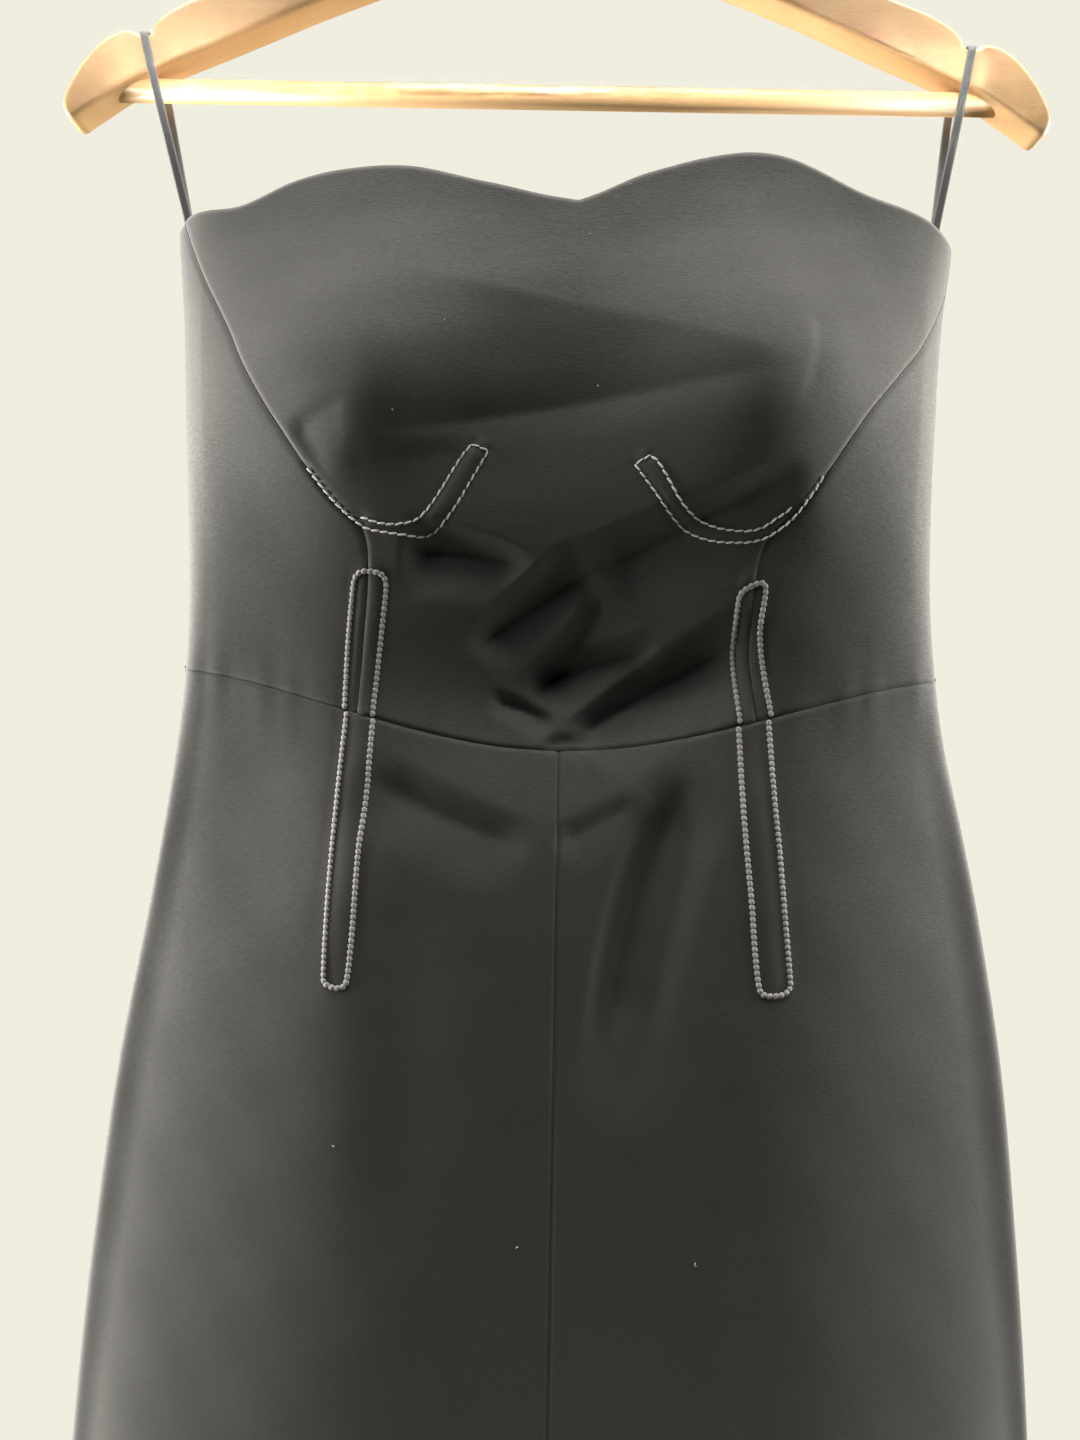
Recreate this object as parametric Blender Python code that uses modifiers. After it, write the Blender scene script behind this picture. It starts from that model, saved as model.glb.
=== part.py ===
"""A strapless jumpsuit hung by two ribbon loops on a wooden hanger.

Sizes are in millimetres and are turned to metres where a mesh is made. +Z is up, the front faces -Y
and +X is to the right of somebody who looks at the front. The origin is the inside top of the hanger's
hook, where it rests on a rail.
"""
import math
from collections import namedtuple

import bmesh
import bpy
from mathutils import Matrix, Vector

MM = 0.001

# Cloth: the wall of a panel and the gaps between panels.
WALL = 1.6
PROUD = 0.6
SEAM_GAP = 0.4
SIDE_GAP = 0.7
CENTRE_GAP = 0.4

# The garment's centre line lies a little to the right of the hanger's.
CENTRE_X = 5.5

# Heights of the garment, measured down from the hook.
CORNER_Z = -251.0
BACK_TOP_Z = -263.0
WAIST_SIDE_Z = -445.0
WAIST_BACK_Z = -451.0
CROTCH_START_Z = -768.0
CROTCH_Z = -825.0

# From the first to the last of these heights half a torso becomes a whole leg. The crotch curve turns
# the cloth under across this share of the half-width.
LEG_FORM_START_Z = -600.0
LEG_FORM_END_Z = -980.0
CROTCH_TURN_WIDTH = 0.18

# How square the cross-section is: 2 is an ellipse, more is flatter with tighter sides.
FRONT_SQUARENESS = 2.4
BACK_SQUARENESS = 4.0

# Cups, folds and gaps fade out near the side seams, where the section has less than 1 / EDGE_EASE of its
# depth left. A side of the centre line is told by the sign of a place, which is never quite 0.
EDGE_EASE = 2.5
NEAR_CENTRE = 1e-6

# How flat the middle of the back's edges is: 1 is a straight slope from the centre to the side seam.
BACK_EDGE_CURVE = 1.6

# Half-widths to the left and right of the centre line, and depths before and behind the side seams.
Section = namedtuple("Section", "z left right front back")
SECTIONS = (
    Section(-215, 174.0, 173.0, 26, 20),
    Section(-250, 174.0, 173.0, 29, 21),
    Section(-290, 171.0, 168.5, 34, 22),
    Section(-330, 169.5, 166.5, 36, 22),
    Section(-370, 168.0, 165.5, 33, 21),
    Section(-410, 167.0, 166.0, 30, 20),
    Section(-445, 168.0, 169.0, 28, 20),
    Section(-475, 171.0, 173.5, 29, 21),
    Section(-510, 176.0, 181.5, 31, 22),
    Section(-550, 182.5, 190.0, 33, 24),
    Section(-620, 195.0, 201.7, 35, 26),
    Section(-700, 204.8, 209.8, 36, 28),
    Section(-760, 210.3, 214.5, 36, 28),
    Section(-825, 214.5, 218.0, 36, 28),
    Section(-950, 220.0, 223.0, 34, 28),
    Section(-1200, 226.0, 229.0, 33, 28),
    Section(-1590, 231.0, 234.0, 34, 30),
)

# Distance of the inseam from the centre line.
Inseam = namedtuple("Inseam", "z out")
INSEAMS = (
    Inseam(-825, 0.0),
    Inseam(-870, 1.2),
    Inseam(-950, 3.0),
    Inseam(-1200, 6.5),
    Inseam(-1590, 9.0),
)

# The sweetheart top edge of the front, from the left underarm to the right one.
Edge = namedtuple("Edge", "across z")
TOP_EDGE = (
    Edge(-174, -251.0),
    Edge(-166, -245.0),
    Edge(-142, -244.5),
    Edge(-117, -235.0),
    Edge(-97, -231.0),
    Edge(-68, -230.0),
    Edge(-34, -237.0),
    Edge(4, -243.0),
    Edge(34, -231.5),
    Edge(72, -221.5),
    Edge(95, -222.5),
    Edge(127, -235.5),
    Edge(158, -243.0),
    Edge(173, -252.0),
)

# The waist seam of the front, the same on both sides.
WAIST_EDGE = (
    Edge(0, -478.7),
    Edge(26, -477.0),
    Edge(52, -472.4),
    Edge(80, -465.4),
    Edge(115, -456.0),
    Edge(141, -449.7),
    Edge(169, -445.0),
)

# The curved seam between the bust panel and a side front, from the top edge to the waist.
SeamPoint = namedtuple("SeamPoint", "z left right")
BUST_SEAM = (
    SeamPoint(-246, 170.5, 172.3),
    SeamPoint(-262, 164.0, 171.0),
    SeamPoint(-276, 157.5, 168.0),
    SeamPoint(-300, 144.5, 155.0),
    SeamPoint(-316, 137.0, 142.0),
    SeamPoint(-333, 127.0, 128.0),
    SeamPoint(-345, 119.0, 119.5),
    SeamPoint(-360, 108.5, 109.5),
    SeamPoint(-375, 96.0, 98.0),
    SeamPoint(-386, 84.5, 87.0),
    SeamPoint(-402, 82.7, 85.8),
    SeamPoint(-433, 84.7, 85.5),
    SeamPoint(-466, 87.5, 85.2),
)
SEAM_SEARCH_MARGIN = 10.0
SEAM_SEARCH_HALVINGS = 30

# Each moulded cup pushes the front out.
Cup = namedtuple("Cup", "across z push wide tall")
CUPS = (
    Cup(-82, -325, 19, 58, 60),
    Cup(82, -325, 19, 58, 60),
)

# A sharp fold falls away from its crest, on the left hand of somebody who walks from its start to its end.
Fold = namedtuple("Fold", "x0 z0 x1 z1 fall0 fall1 slope rise")
FRONT_FOLDS = (
    Fold(93, -318, -48, -282, 1, 64, 0.17, 14),
    Fold(64, -365, -44, -434, 16, 12, 0.50, 28),
    Fold(76, -408, 4, -470, 14, 9, 0.35, 24),
    Fold(20, -434, -24, -449, 10, 8, 0.45, 14),
    Fold(-8, -508, -76, -477, 12, 22, 0.16, 26),
)
FOLD_END = 0.22

# A soft fold is a trough down the cloth, with its own width and depth.
Trough = namedtuple("Trough", "x0 z0 x1 z1 wide deep")
FRONT_TROUGHS = (
    Trough(-116, -510, -120, -760, 22, 2.6),
    Trough(-66, -520, -60, -700, 20, 2.2),
    Trough(44, -500, 22, -640, 20, 3.0),
    Trough(112, -500, 120, -800, 24, 3.0),
    Trough(-150, -900, -158, -1560, 22, 4.0),
    Trough(-74, -1000, -66, -1600, 26, 5.0),
    Trough(70, -880, 78, -1600, 24, 5.0),
    Trough(158, -1000, 150, -1600, 22, 4.0),
)
BACK_TROUGHS = (
    Trough(-84, -300, -78, -430, 26, 3.0),
    Trough(70, -290, 82, -430, 24, 3.0),
    Trough(-96, -480, -110, -760, 28, 3.5),
    Trough(90, -470, 112, -790, 26, 3.5),
    Trough(-140, -900, -150, -1600, 24, 4.5),
    Trough(-60, -860, -66, -1600, 24, 4.5),
    Trough(66, -900, 60, -1600, 26, 4.5),
    Trough(148, -960, 140, -1600, 22, 4.0),
)
TROUGH_END = 0.25

# Numbers of mesh cells across and down the panels. The cell along a seam is narrow, which squares the
# wall's edge to the seam.
BUST_COLUMNS = 24
SIDE_COLUMNS = 7
BACK_COLUMNS = 10
BODICE_ROWS = 20
BACK_ROWS = 11
TROUSER_COLUMNS = 13
TROUSER_BACK_COLUMNS = 11
NARROW = 0.03
BUST_CROWDING = 0.45

# Heights of the trousers' mesh rows at the side seams. The crotch curve has its own rows between them.
HIP_ROWS = (-445, -458, -475, -495, -520, -550, -585, -625, -665, -705, -738, -768)
CROTCH_TURNS = (20, 40, 58, 75, 90)
LEG_ROWS = (-850, -890, -950, -1030, -1120, -1220, -1320, -1420, -1510, -1590)
WAIST_FADE = 140.0
WAIST_FADE_CURVE = 1.5

# Hanger: a flat wooden body with a notch by each tip, a round bar and a steel hook.
ARM_THICKNESS = 16.0
ARM_ROUNDING = 2.6
ARM_UPPER_EDGE = (
    Edge(0, -85), Edge(14, -86), Edge(28, -91), Edge(50, -102.5), Edge(78, -114), Edge(110, -127),
    Edge(145, -141), Edge(162, -147.5), Edge(171, -152), Edge(176, -155.5), Edge(179.2, -159.5),
    Edge(180.9, -163.5), Edge(186.3, -163.5), Edge(189.3, -161.8), Edge(195.3, -162.5), Edge(202.8, -167),
    Edge(209.3, -174), Edge(214.8, -182), Edge(219.0, -191),
)
ARM_LOWER_EDGE = (
    Edge(219.5, -196), Edge(217.6, -200.5), Edge(213.9, -201.5), Edge(207.4, -197), Edge(184, -182),
    Edge(145, -165), Edge(101, -146), Edge(60, -130.5), Edge(30, -121), Edge(14, -118), Edge(0, -117),
)
BAR_Z = -185.0
BAR_RADIUS = 4.9
BAR_HALF_LENGTH = 206.0
BAR_SIDES = 20
HOLE_GAP = 0.3

HOOK_WIRE_RADIUS = 2.0
HOOK_INNER_RADIUS = 21.0
HOOK_FIRST_ANGLE = -50.0
HOOK_LAST_ANGLE = 205.0
HOOK_ARC_STEPS = 22
HOOK_NECK_STEPS = 6
HOOK_STEM_TOP_Z = -62.0
HOOK_STEM_DEPTH = 18.0
HOOK_NECK_PULL = 18.0
HOOK_HOLE_SIDES = 12

# Hanger loops: ribbon that runs over the notch and down to the inside of the top edge.
LOOP_WIDTH = 3.6
LOOP_THICKNESS = 1.0
LOOP_CLEARANCE = 0.3
LOOP_FLAT_INSET = 0.4
LOOP_TURN_INSET = 0.1
LOOP_TURN_DROP = 0.9
LOOP_SHOULDER_DROP = 4.0
STRAND_GAP = 0.2
NOTCH_X = 183.5
NOTCH_Z = -163.5
LOOP_JOIN_Z = -247.0
LOOP_END_Z = -262.0
Loop = namedtuple("Loop", "name side end_across end_y")
LOOPS = (
    Loop("hanger_loop_left", -1, -169.2, -1.4),
    Loop("hanger_loop_right", 1, 163.0, -6.5),
)

# Zip: the slider sits at the top of the centre back, with its pull hanging from a pin.
SLIDER_Z = -276.0
SLIDER_WIDTH = 6.4
SLIDER_HEIGHT = 11.0
SLIDER_PLATE = 1.4
SLIDER_STAND_OFF = 0.45
SLIDER_ROUNDING = 0.4
EAR_THICKNESS = 1.0
EAR_INNER = 1.5
EAR_RADIUS = 1.9
PIN_RADIUS = 0.8
PIN_OUT = 2.8
PIN_SIDES = 12
PULL_EYE_RADIUS = 1.9
PULL_EYE_BORE = 1.15
PULL_EYE_WIDTH = 2.2
PULL_EYE_SIDES = 14
PULL_LENGTH = 24.0
PULL_NECK = 5.0
PULL_NECK_LAP = 1.0
PULL_WIDTH = 6.0
PULL_THICKNESS = 1.4
PULL_TAPER = 0.7
PULL_ROUNDING = 0.5


# Interpolation

def table_value(rows, key, column, at):
    """Reads a column of a table as a smooth curve through its rows."""
    keys = [getattr(row, key) for row in rows]
    values = [getattr(row, column) for row in rows]
    if keys[0] > keys[-1]:
        keys.reverse()
        values.reverse()
    at = min(max(at, keys[0]), keys[-1])
    last = len(keys) - 2
    i = min(max(sum(1 for k in keys if k <= at) - 1, 0), last)
    span = keys[i + 1] - keys[i]
    t = (at - keys[i]) / span

    def tangent(j):
        before = max(j - 1, 0)
        after = min(j + 1, last + 1)
        return (values[after] - values[before]) / (keys[after] - keys[before]) * span

    a, b = values[i], values[i + 1]
    ta, tb = tangent(i), tangent(i + 1)
    return (
        a * (2 * t**3 - 3 * t**2 + 1)
        + ta * (t**3 - 2 * t**2 + t)
        + b * (3 * t**2 - 2 * t**3)
        + tb * (t**3 - t**2)
    )


def smooth_step(t):
    """Goes from 0 to 1 with soft ends."""
    t = min(max(t, 0.0), 1.0)
    return t * t * (3 - 2 * t)


def mix(a, b, t):
    return a + (b - a) * t


# The surface of the garment

def half_width(s, z):
    """Half-width on the side that s points to."""
    return table_value(SECTIONS, "z", "left" if s < 0 else "right", z)


def across(s, z):
    """Distance from the centre line at s, from -1 at the left side seam to 1 at the right one."""
    inseam = table_value(INSEAMS, "z", "out", z) if z < CROTCH_Z else 0.0
    wide = half_width(s, z)
    return math.copysign(inseam + (wide - inseam) * abs(s), s)


def crotch_turn(z):
    """0 above the crotch curve and 1 from the crotch down: how far a leg is closed round."""
    t = (CROTCH_START_Z - z) / (CROTCH_START_Z - CROTCH_Z)
    t = min(max(t, 0.0), 1.0)
    return 1 - math.sqrt(1 - t * t)


def rounded(t, squareness):
    """Share of the full depth at t, from 1 at the middle of a section to 0 at its edge."""
    return math.sqrt(max(0.0, 1 - min(max(t, 0.0), 1.0) ** squareness))


def roundness(s, z, squareness):
    """Share of the full depth at s: half a lens on the torso, a whole lens on each leg."""
    q = min(abs(s), 1.0)
    leg_form = smooth_step((LEG_FORM_START_Z - z) / (LEG_FORM_START_Z - LEG_FORM_END_Z))
    outer = mix(rounded(q, squareness), rounded(2 * q - 1, squareness), leg_form)
    widening = smooth_step((CROTCH_Z - z) / (CROTCH_Z - LEG_FORM_END_Z))
    inner_width = mix(CROTCH_TURN_WIDTH, 0.5, widening)
    inner = mix(1.0, rounded(1 - q / inner_width, squareness), crotch_turn(z))
    return outer * inner


def line_place(row, x, z):
    """Where a point lies along a fold's line, and how far to its left hand."""
    run = Vector((row.x1 - row.x0, row.z1 - row.z0))
    reach = Vector((x - row.x0, z - row.z0))
    length = run.length
    along = reach.dot(run) / length**2
    beside = (run.x * reach.y - run.y * reach.x) / length
    return along, beside


def line_fade(along, end):
    """Fades a fold out over the given share of its length at both ends."""
    return smooth_step(along / end) * smooth_step((1 - along) / end)


def fold_depth(fold, x, z):
    """How far a sharp fold pushes the cloth in."""
    along, beside = line_place(fold, x, z)
    fall = mix(fold.fall0, fold.fall1, min(max(along, 0.0), 1.0))
    if beside <= 0 or beside >= fall + fold.rise:
        return 0.0
    if beside < fall:
        share = beside / fall
    else:
        share = 0.5 + 0.5 * math.cos(math.pi * (beside - fall) / fold.rise)
    return fold.slope * fall * share * line_fade(along, FOLD_END)


def trough_depth(trough, x, z):
    """How far a soft fold pushes the cloth in."""
    along, beside = line_place(trough, x, z)
    return trough.deep * math.exp(-((beside / trough.wide) ** 2)) * line_fade(along, TROUGH_END)


def cup_push(cup, x, z):
    """How far a cup pushes the cloth out."""
    return cup.push * math.exp(-(((x - cup.across) / cup.wide) ** 2) - ((z - cup.z) / cup.tall) ** 2)


def front_point(s, z, out=0.0):
    """A point on the outside of the front, moved out towards the front by out."""
    x = across(s, z)
    rim = roundness(s, z, FRONT_SQUARENESS)
    ease = min(1.0, rim * EDGE_EASE)
    depth = table_value(SECTIONS, "z", "front", z) * rim
    depth += sum(cup_push(cup, x, z) for cup in CUPS) * ease
    depth -= sum(fold_depth(fold, x, z) for fold in FRONT_FOLDS) * ease
    depth -= sum(trough_depth(trough, x, z) for trough in FRONT_TROUGHS) * ease
    return Vector((CENTRE_X + x, -depth - out * ease, z))


def back_point(s, z):
    """A point on the outside of the back."""
    x = across(s, z)
    rim = roundness(s, z, BACK_SQUARENESS)
    ease = min(1.0, rim * EDGE_EASE)
    depth = table_value(SECTIONS, "z", "back", z) * rim
    depth -= sum(trough_depth(trough, x, z) for trough in BACK_TROUGHS) * ease
    return Vector((CENTRE_X + x, depth, z))


def top_edge_z(s):
    """Height of the front's top edge."""
    wide = TOP_EDGE[-1].across if s > 0 else -TOP_EDGE[0].across
    return table_value(TOP_EDGE, "across", "z", s * wide)


def back_top_z(s):
    """Height of the back's top edge, lowest at the centre back."""
    return mix(BACK_TOP_Z, CORNER_Z, abs(s) ** BACK_EDGE_CURVE)


def front_waist_z(s):
    """Height of the front's waist seam."""
    return table_value(WAIST_EDGE, "across", "z", abs(s) * WAIST_EDGE[-1].across)


def back_waist_z(s):
    """Height of the back's waist seam."""
    return mix(WAIST_BACK_Z, WAIST_SIDE_Z, abs(s) ** BACK_EDGE_CURVE)


def bodice_z(s, v):
    """Height on the front bodice at v, from 0 at the waist seam to 1 at the top edge."""
    return mix(front_waist_z(s) + SEAM_GAP / 2, top_edge_z(s), v)


def bust_seam_s(side, v):
    """The s of the curved bust seam at v, found by halving the range of heights."""
    column = "left" if side < 0 else "right"
    low = BUST_SEAM[-1].z - SEAM_SEARCH_MARGIN
    high = BUST_SEAM[0].z + SEAM_SEARCH_MARGIN
    for _ in range(SEAM_SEARCH_HALVINGS):
        z = (low + high) / 2
        s = side * table_value(BUST_SEAM, "z", column, z) / half_width(side, z)
        if bodice_z(s, v) > z:
            low = z
        else:
            high = z
    return s


def share_from_seam(column, columns):
    """0 at a seam and 1 at the panel's other edge, with a narrow first cell."""
    if column == 0:
        return 0.0
    return mix(NARROW, 1.0, (column - 1) / (columns - 1))


def share_between_seams(column, columns):
    """0 at one seam and 1 at the other, with a narrow cell at both."""
    if column == 0:
        return 0.0
    if column == columns:
        return 1.0
    return mix(NARROW / 2, 1 - NARROW / 2, (column - 1) / (columns - 2))


def side_turn(s, squareness):
    """The angle round the section at s, which spaces points evenly where the side rounds away."""
    return math.asin(min(1.0, abs(s) ** (squareness / 2)))


def turn_side(angle, squareness):
    """The s of an angle round the section."""
    return math.sin(angle) ** (2 / squareness)


# Panels

def new_collection(name):
    """Makes a collection in the scene."""
    collection = bpy.data.collections.new(name)
    bpy.context.scene.collection.children.link(collection)
    return collection


def make_material(name, colour, roughness, metallic=0.0):
    """A plain material."""
    material = bpy.data.materials.new(name)
    material.use_nodes = True
    shader = material.node_tree.nodes["Principled BSDF"]
    shader.inputs["Base Color"].default_value = (*colour, 1.0)
    shader.inputs["Roughness"].default_value = roughness
    shader.inputs["Metallic"].default_value = metallic
    return material


def add_object(name, bm, material, collection):
    """Makes an object of a bmesh."""
    mesh = bpy.data.meshes.new(name)
    bm.to_mesh(mesh)
    bm.free()
    mesh.materials.append(material)
    mesh.shade_smooth()
    obj = bpy.data.objects.new(name, mesh)
    collection.objects.link(obj)
    return obj


def cloth_panel(name, columns, rows, place, material, collection):
    """A grid laid on the garment's outside, with its wall on the inside.

    place takes the column and row of a corner and gives its point. Columns run to +X on a front and to -X
    on a back, and rows run up, so that the grid faces out.
    """
    bm = bmesh.new()
    bmesh.ops.create_grid(bm, x_segments=columns, y_segments=rows, size=0.5)
    for vert in bm.verts:
        column = round((vert.co.x + 0.5) * columns)
        row = round((vert.co.y + 0.5) * rows)
        vert.co = place(column, row) * MM
    obj = add_object(name, bm, material, collection)
    wall = obj.modifiers.new("Wall", "SOLIDIFY")
    wall.thickness = WALL * MM
    wall.offset = -1
    return obj


def build_bust_panel(material, collection):
    """Both cups and the centre front in one piece, standing a little proud."""
    def place(column, row):
        v = row / BODICE_ROWS
        even = share_between_seams(column, BUST_COLUMNS)
        u = mix(even, 0.5 - 0.5 * math.cos(math.pi * even), BUST_CROWDING)
        left, right = bust_seam_s(-1, v), bust_seam_s(1, v)
        z = bodice_z(mix(left, right, u), v)
        gap = SEAM_GAP / 2 / half_width(1, z)
        s = mix(left + gap, right - gap, u)
        return front_point(s, bodice_z(s, v), PROUD)

    return cloth_panel("bust_panel", BUST_COLUMNS, BODICE_ROWS, place, material, collection)


def build_side_front(name, side, material, collection):
    """The front between the bust seam and a side seam."""
    def place(column, row):
        v = row / BODICE_ROWS
        u = share_from_seam(column if side < 0 else SIDE_COLUMNS - column, SIDE_COLUMNS)
        seam = bust_seam_s(side, v)
        gap = SEAM_GAP / 2 / half_width(side, CORNER_Z)
        inner = side_turn(abs(seam) + gap, FRONT_SQUARENESS)
        s = side * turn_side(mix(math.pi / 2, inner, u), FRONT_SQUARENESS)
        point = front_point(s, bodice_z(s, v))
        point.y -= SIDE_GAP / 2
        return point

    return cloth_panel(name, SIDE_COLUMNS, BODICE_ROWS, place, material, collection)


def build_bodice_back(name, side, material, collection):
    """Half of the back, from the side seam to the zip."""
    def place(column, row):
        v = row / BACK_ROWS
        u = share_from_seam(column if side > 0 else BACK_COLUMNS - column, BACK_COLUMNS)
        angle = mix(math.pi / 2, 0.0, u)
        s = side * turn_side(angle, BACK_SQUARENESS)
        z = mix(back_waist_z(s) + SEAM_GAP / 2, back_top_z(s), v)
        point = back_point(s, z)
        point.x += side * CENTRE_GAP / 2 * u
        point.y += SIDE_GAP / 2
        return point

    return cloth_panel(name, BACK_COLUMNS, BACK_ROWS, place, material, collection)


def trouser_row_heights():
    """Heights of the trousers' rows at the side seam, from the hem up."""
    drop = CROTCH_START_Z - CROTCH_Z
    crotch = [CROTCH_START_Z - drop * math.sin(math.radians(turn)) for turn in CROTCH_TURNS]
    return list(reversed([*HIP_ROWS, *crotch, *LEG_ROWS]))


def leg_share(column, columns):
    """Place across a leg, from 0 at the centre seam to 1 at the side seam, close at both ends."""
    angle = math.pi * (share_between_seams(column, columns) - 0.5)
    return 0.5 + 0.5 * math.copysign(abs(math.sin(angle)) ** (2 / FRONT_SQUARENESS), angle)


def build_trouser(name, side, front, material, collection):
    """The front or back of one leg, from the waist seam to the hem."""
    heights = trouser_row_heights()
    columns = TROUSER_COLUMNS if front else TROUSER_BACK_COLUMNS
    toward_right = (side > 0) == front

    def place(column, row):
        q = leg_share(column if toward_right else columns - column, columns)
        s = side * max(q, NEAR_CENTRE)
        waist = front_waist_z(s) if front else back_waist_z(s)
        below = (WAIST_SIDE_Z - heights[row]) / WAIST_FADE
        drop = (waist - WAIST_SIDE_Z) * max(0.0, 1 - below) ** WAIST_FADE_CURVE
        z = heights[row] + drop - SEAM_GAP / 2 * smooth_step(1 - below)
        point = front_point(s, z) if front else back_point(s, z)
        point.x += side * CENTRE_GAP / 2 * (1 - q)
        point.y += -SIDE_GAP / 2 if front else SIDE_GAP / 2
        return point

    return cloth_panel(name, columns, len(heights) - 1, place, material, collection)


# Hanger

def add_cutter(name, bm, collection):
    """A guide that only cuts another piece."""
    mesh = bpy.data.meshes.new(name)
    bm.to_mesh(mesh)
    bm.free()
    cutter = bpy.data.objects.new(name, mesh)
    cutter.display_type = "WIRE"
    cutter.hide_render = True
    collection.objects.link(cutter)
    return cutter


def cut_with(obj, cutter):
    """Cuts one piece with another."""
    boolean = obj.modifiers.new("Cut", "BOOLEAN")
    boolean.operation = "DIFFERENCE"
    boolean.object = cutter


def join_with(obj, other):
    """Joins another solid to a piece."""
    boolean = obj.modifiers.new("Join", "BOOLEAN")
    boolean.operation = "UNION"
    boolean.object = other


def rod_bmesh(radius, length, centre, axis, sides):
    """A closed cylinder about a centre, along X, Y or Z."""
    bm = bmesh.new()
    bmesh.ops.create_cone(
        bm, cap_ends=True, segments=sides, radius1=radius * MM, radius2=radius * MM, depth=length * MM
    )
    turn = Vector((0, 0, 1)).rotation_difference(axis).to_matrix()
    bmesh.ops.rotate(bm, verts=bm.verts, matrix=turn)
    bmesh.ops.translate(bm, verts=bm.verts, vec=Vector(centre) * MM)
    return bm


def build_hanger_arms(material, collection, cutters):
    """The wooden body: a flat outline with rounded edges, bored for the bar and the hook."""
    right = [*ARM_UPPER_EDGE, *ARM_LOWER_EDGE]
    left = [Edge(-p.across, p.z) for p in reversed(right) if p.across > 0]
    outline = bpy.data.curves.new("arm_outline", "CURVE")
    outline.dimensions = "2D"
    outline.fill_mode = "BOTH"
    outline.extrude = ARM_THICKNESS / 2 * MM
    spline = outline.splines.new("POLY")
    points = right + left
    spline.points.add(len(points) - 1)
    for target, point in zip(spline.points, points):
        target.co = (point.across * MM, point.z * MM, 0, 1)
    spline.use_cyclic_u = True
    guide = bpy.data.objects.new("arm_outline", outline)
    guide.rotation_euler = (math.pi / 2, 0, 0)
    collection.objects.link(guide)
    bpy.context.view_layer.update()
    evaluated = guide.evaluated_get(bpy.context.evaluated_depsgraph_get())
    mesh = bpy.data.meshes.new_from_object(evaluated)
    bm = bmesh.new()
    bm.from_mesh(mesh)
    bmesh.ops.remove_doubles(bm, verts=bm.verts, dist=0.00001)
    bmesh.ops.transform(bm, matrix=guide.matrix_world, verts=bm.verts)
    bmesh.ops.recalc_face_normals(bm, faces=bm.faces)
    bpy.data.objects.remove(guide)
    bpy.data.meshes.remove(mesh)
    arms = add_object("hanger_arms", bm, material, collection)
    rounding = arms.modifiers.new("Rounding", "BEVEL")
    rounding.width = ARM_ROUNDING * MM
    rounding.segments = 2
    rounding.limit_method = "ANGLE"
    rounding.angle_limit = math.radians(75)
    rounding.use_clamp_overlap = False
    bar_hole = rod_bmesh(
        BAR_RADIUS + HOLE_GAP, 2 * (BAR_HALF_LENGTH + HOLE_GAP), (0, 0, BAR_Z), Vector((1, 0, 0)), BAR_SIDES
    )
    cut_with(arms, add_cutter("bar_hole", bar_hole, cutters))
    stem_top = ARM_UPPER_EDGE[0].z
    hook_hole = rod_bmesh(
        HOOK_WIRE_RADIUS + HOLE_GAP,
        2 * (HOOK_STEM_DEPTH + HOLE_GAP),
        (0, 0, stem_top),
        Vector((0, 0, 1)),
        HOOK_HOLE_SIDES,
    )
    cut_with(arms, add_cutter("hook_hole", hook_hole, cutters))
    return arms


def build_hanger_bar(material, collection):
    """The round bar, whose ends sit in the arms."""
    bm = rod_bmesh(BAR_RADIUS, 2 * BAR_HALF_LENGTH, (0, 0, BAR_Z), Vector((1, 0, 0)), BAR_SIDES)
    return add_object("hanger_bar", bm, material, collection)


def hook_path():
    """Points along the hook's wire: up the stem, out through the neck and round the bend."""
    radius = HOOK_INNER_RADIUS + HOOK_WIRE_RADIUS
    centre_z = -HOOK_INNER_RADIUS
    first = math.radians(HOOK_FIRST_ANGLE)
    start = Vector((0, 0, HOOK_STEM_TOP_Z))
    end = Vector((radius * math.cos(first), 0, centre_z + radius * math.sin(first)))
    rise = Vector((0, 0, 1)) * HOOK_NECK_PULL
    lean = Vector((-math.sin(first), 0, math.cos(first))) * HOOK_NECK_PULL
    points = [Vector((0, 0, ARM_UPPER_EDGE[0].z - HOOK_STEM_DEPTH))]
    for i in range(HOOK_NECK_STEPS):
        t = i / HOOK_NECK_STEPS
        points.append(
            start * (2 * t**3 - 3 * t**2 + 1)
            + rise * (t**3 - 2 * t**2 + t)
            + end * (3 * t**2 - 2 * t**3)
            + lean * (t**3 - t**2)
        )
    for i in range(HOOK_ARC_STEPS + 1):
        angle = math.radians(mix(HOOK_FIRST_ANGLE, HOOK_LAST_ANGLE, i / HOOK_ARC_STEPS))
        points.append(Vector((radius * math.cos(angle), 0, centre_z + radius * math.sin(angle))))
    return points


def build_hanger_hook(material, collection):
    """The steel hook, a bent wire with its stem in the wood."""
    wire = bpy.data.curves.new("hanger_hook", "CURVE")
    wire.dimensions = "3D"
    wire.bevel_depth = HOOK_WIRE_RADIUS * MM
    wire.bevel_resolution = 2
    wire.use_fill_caps = True
    spline = wire.splines.new("POLY")
    points = hook_path()
    spline.points.add(len(points) - 1)
    for target, point in zip(spline.points, points):
        target.co = (*(point * MM), 1)
    wire.materials.append(material)
    hook = bpy.data.objects.new("hanger_hook", wire)
    collection.objects.link(hook)
    return hook


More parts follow.
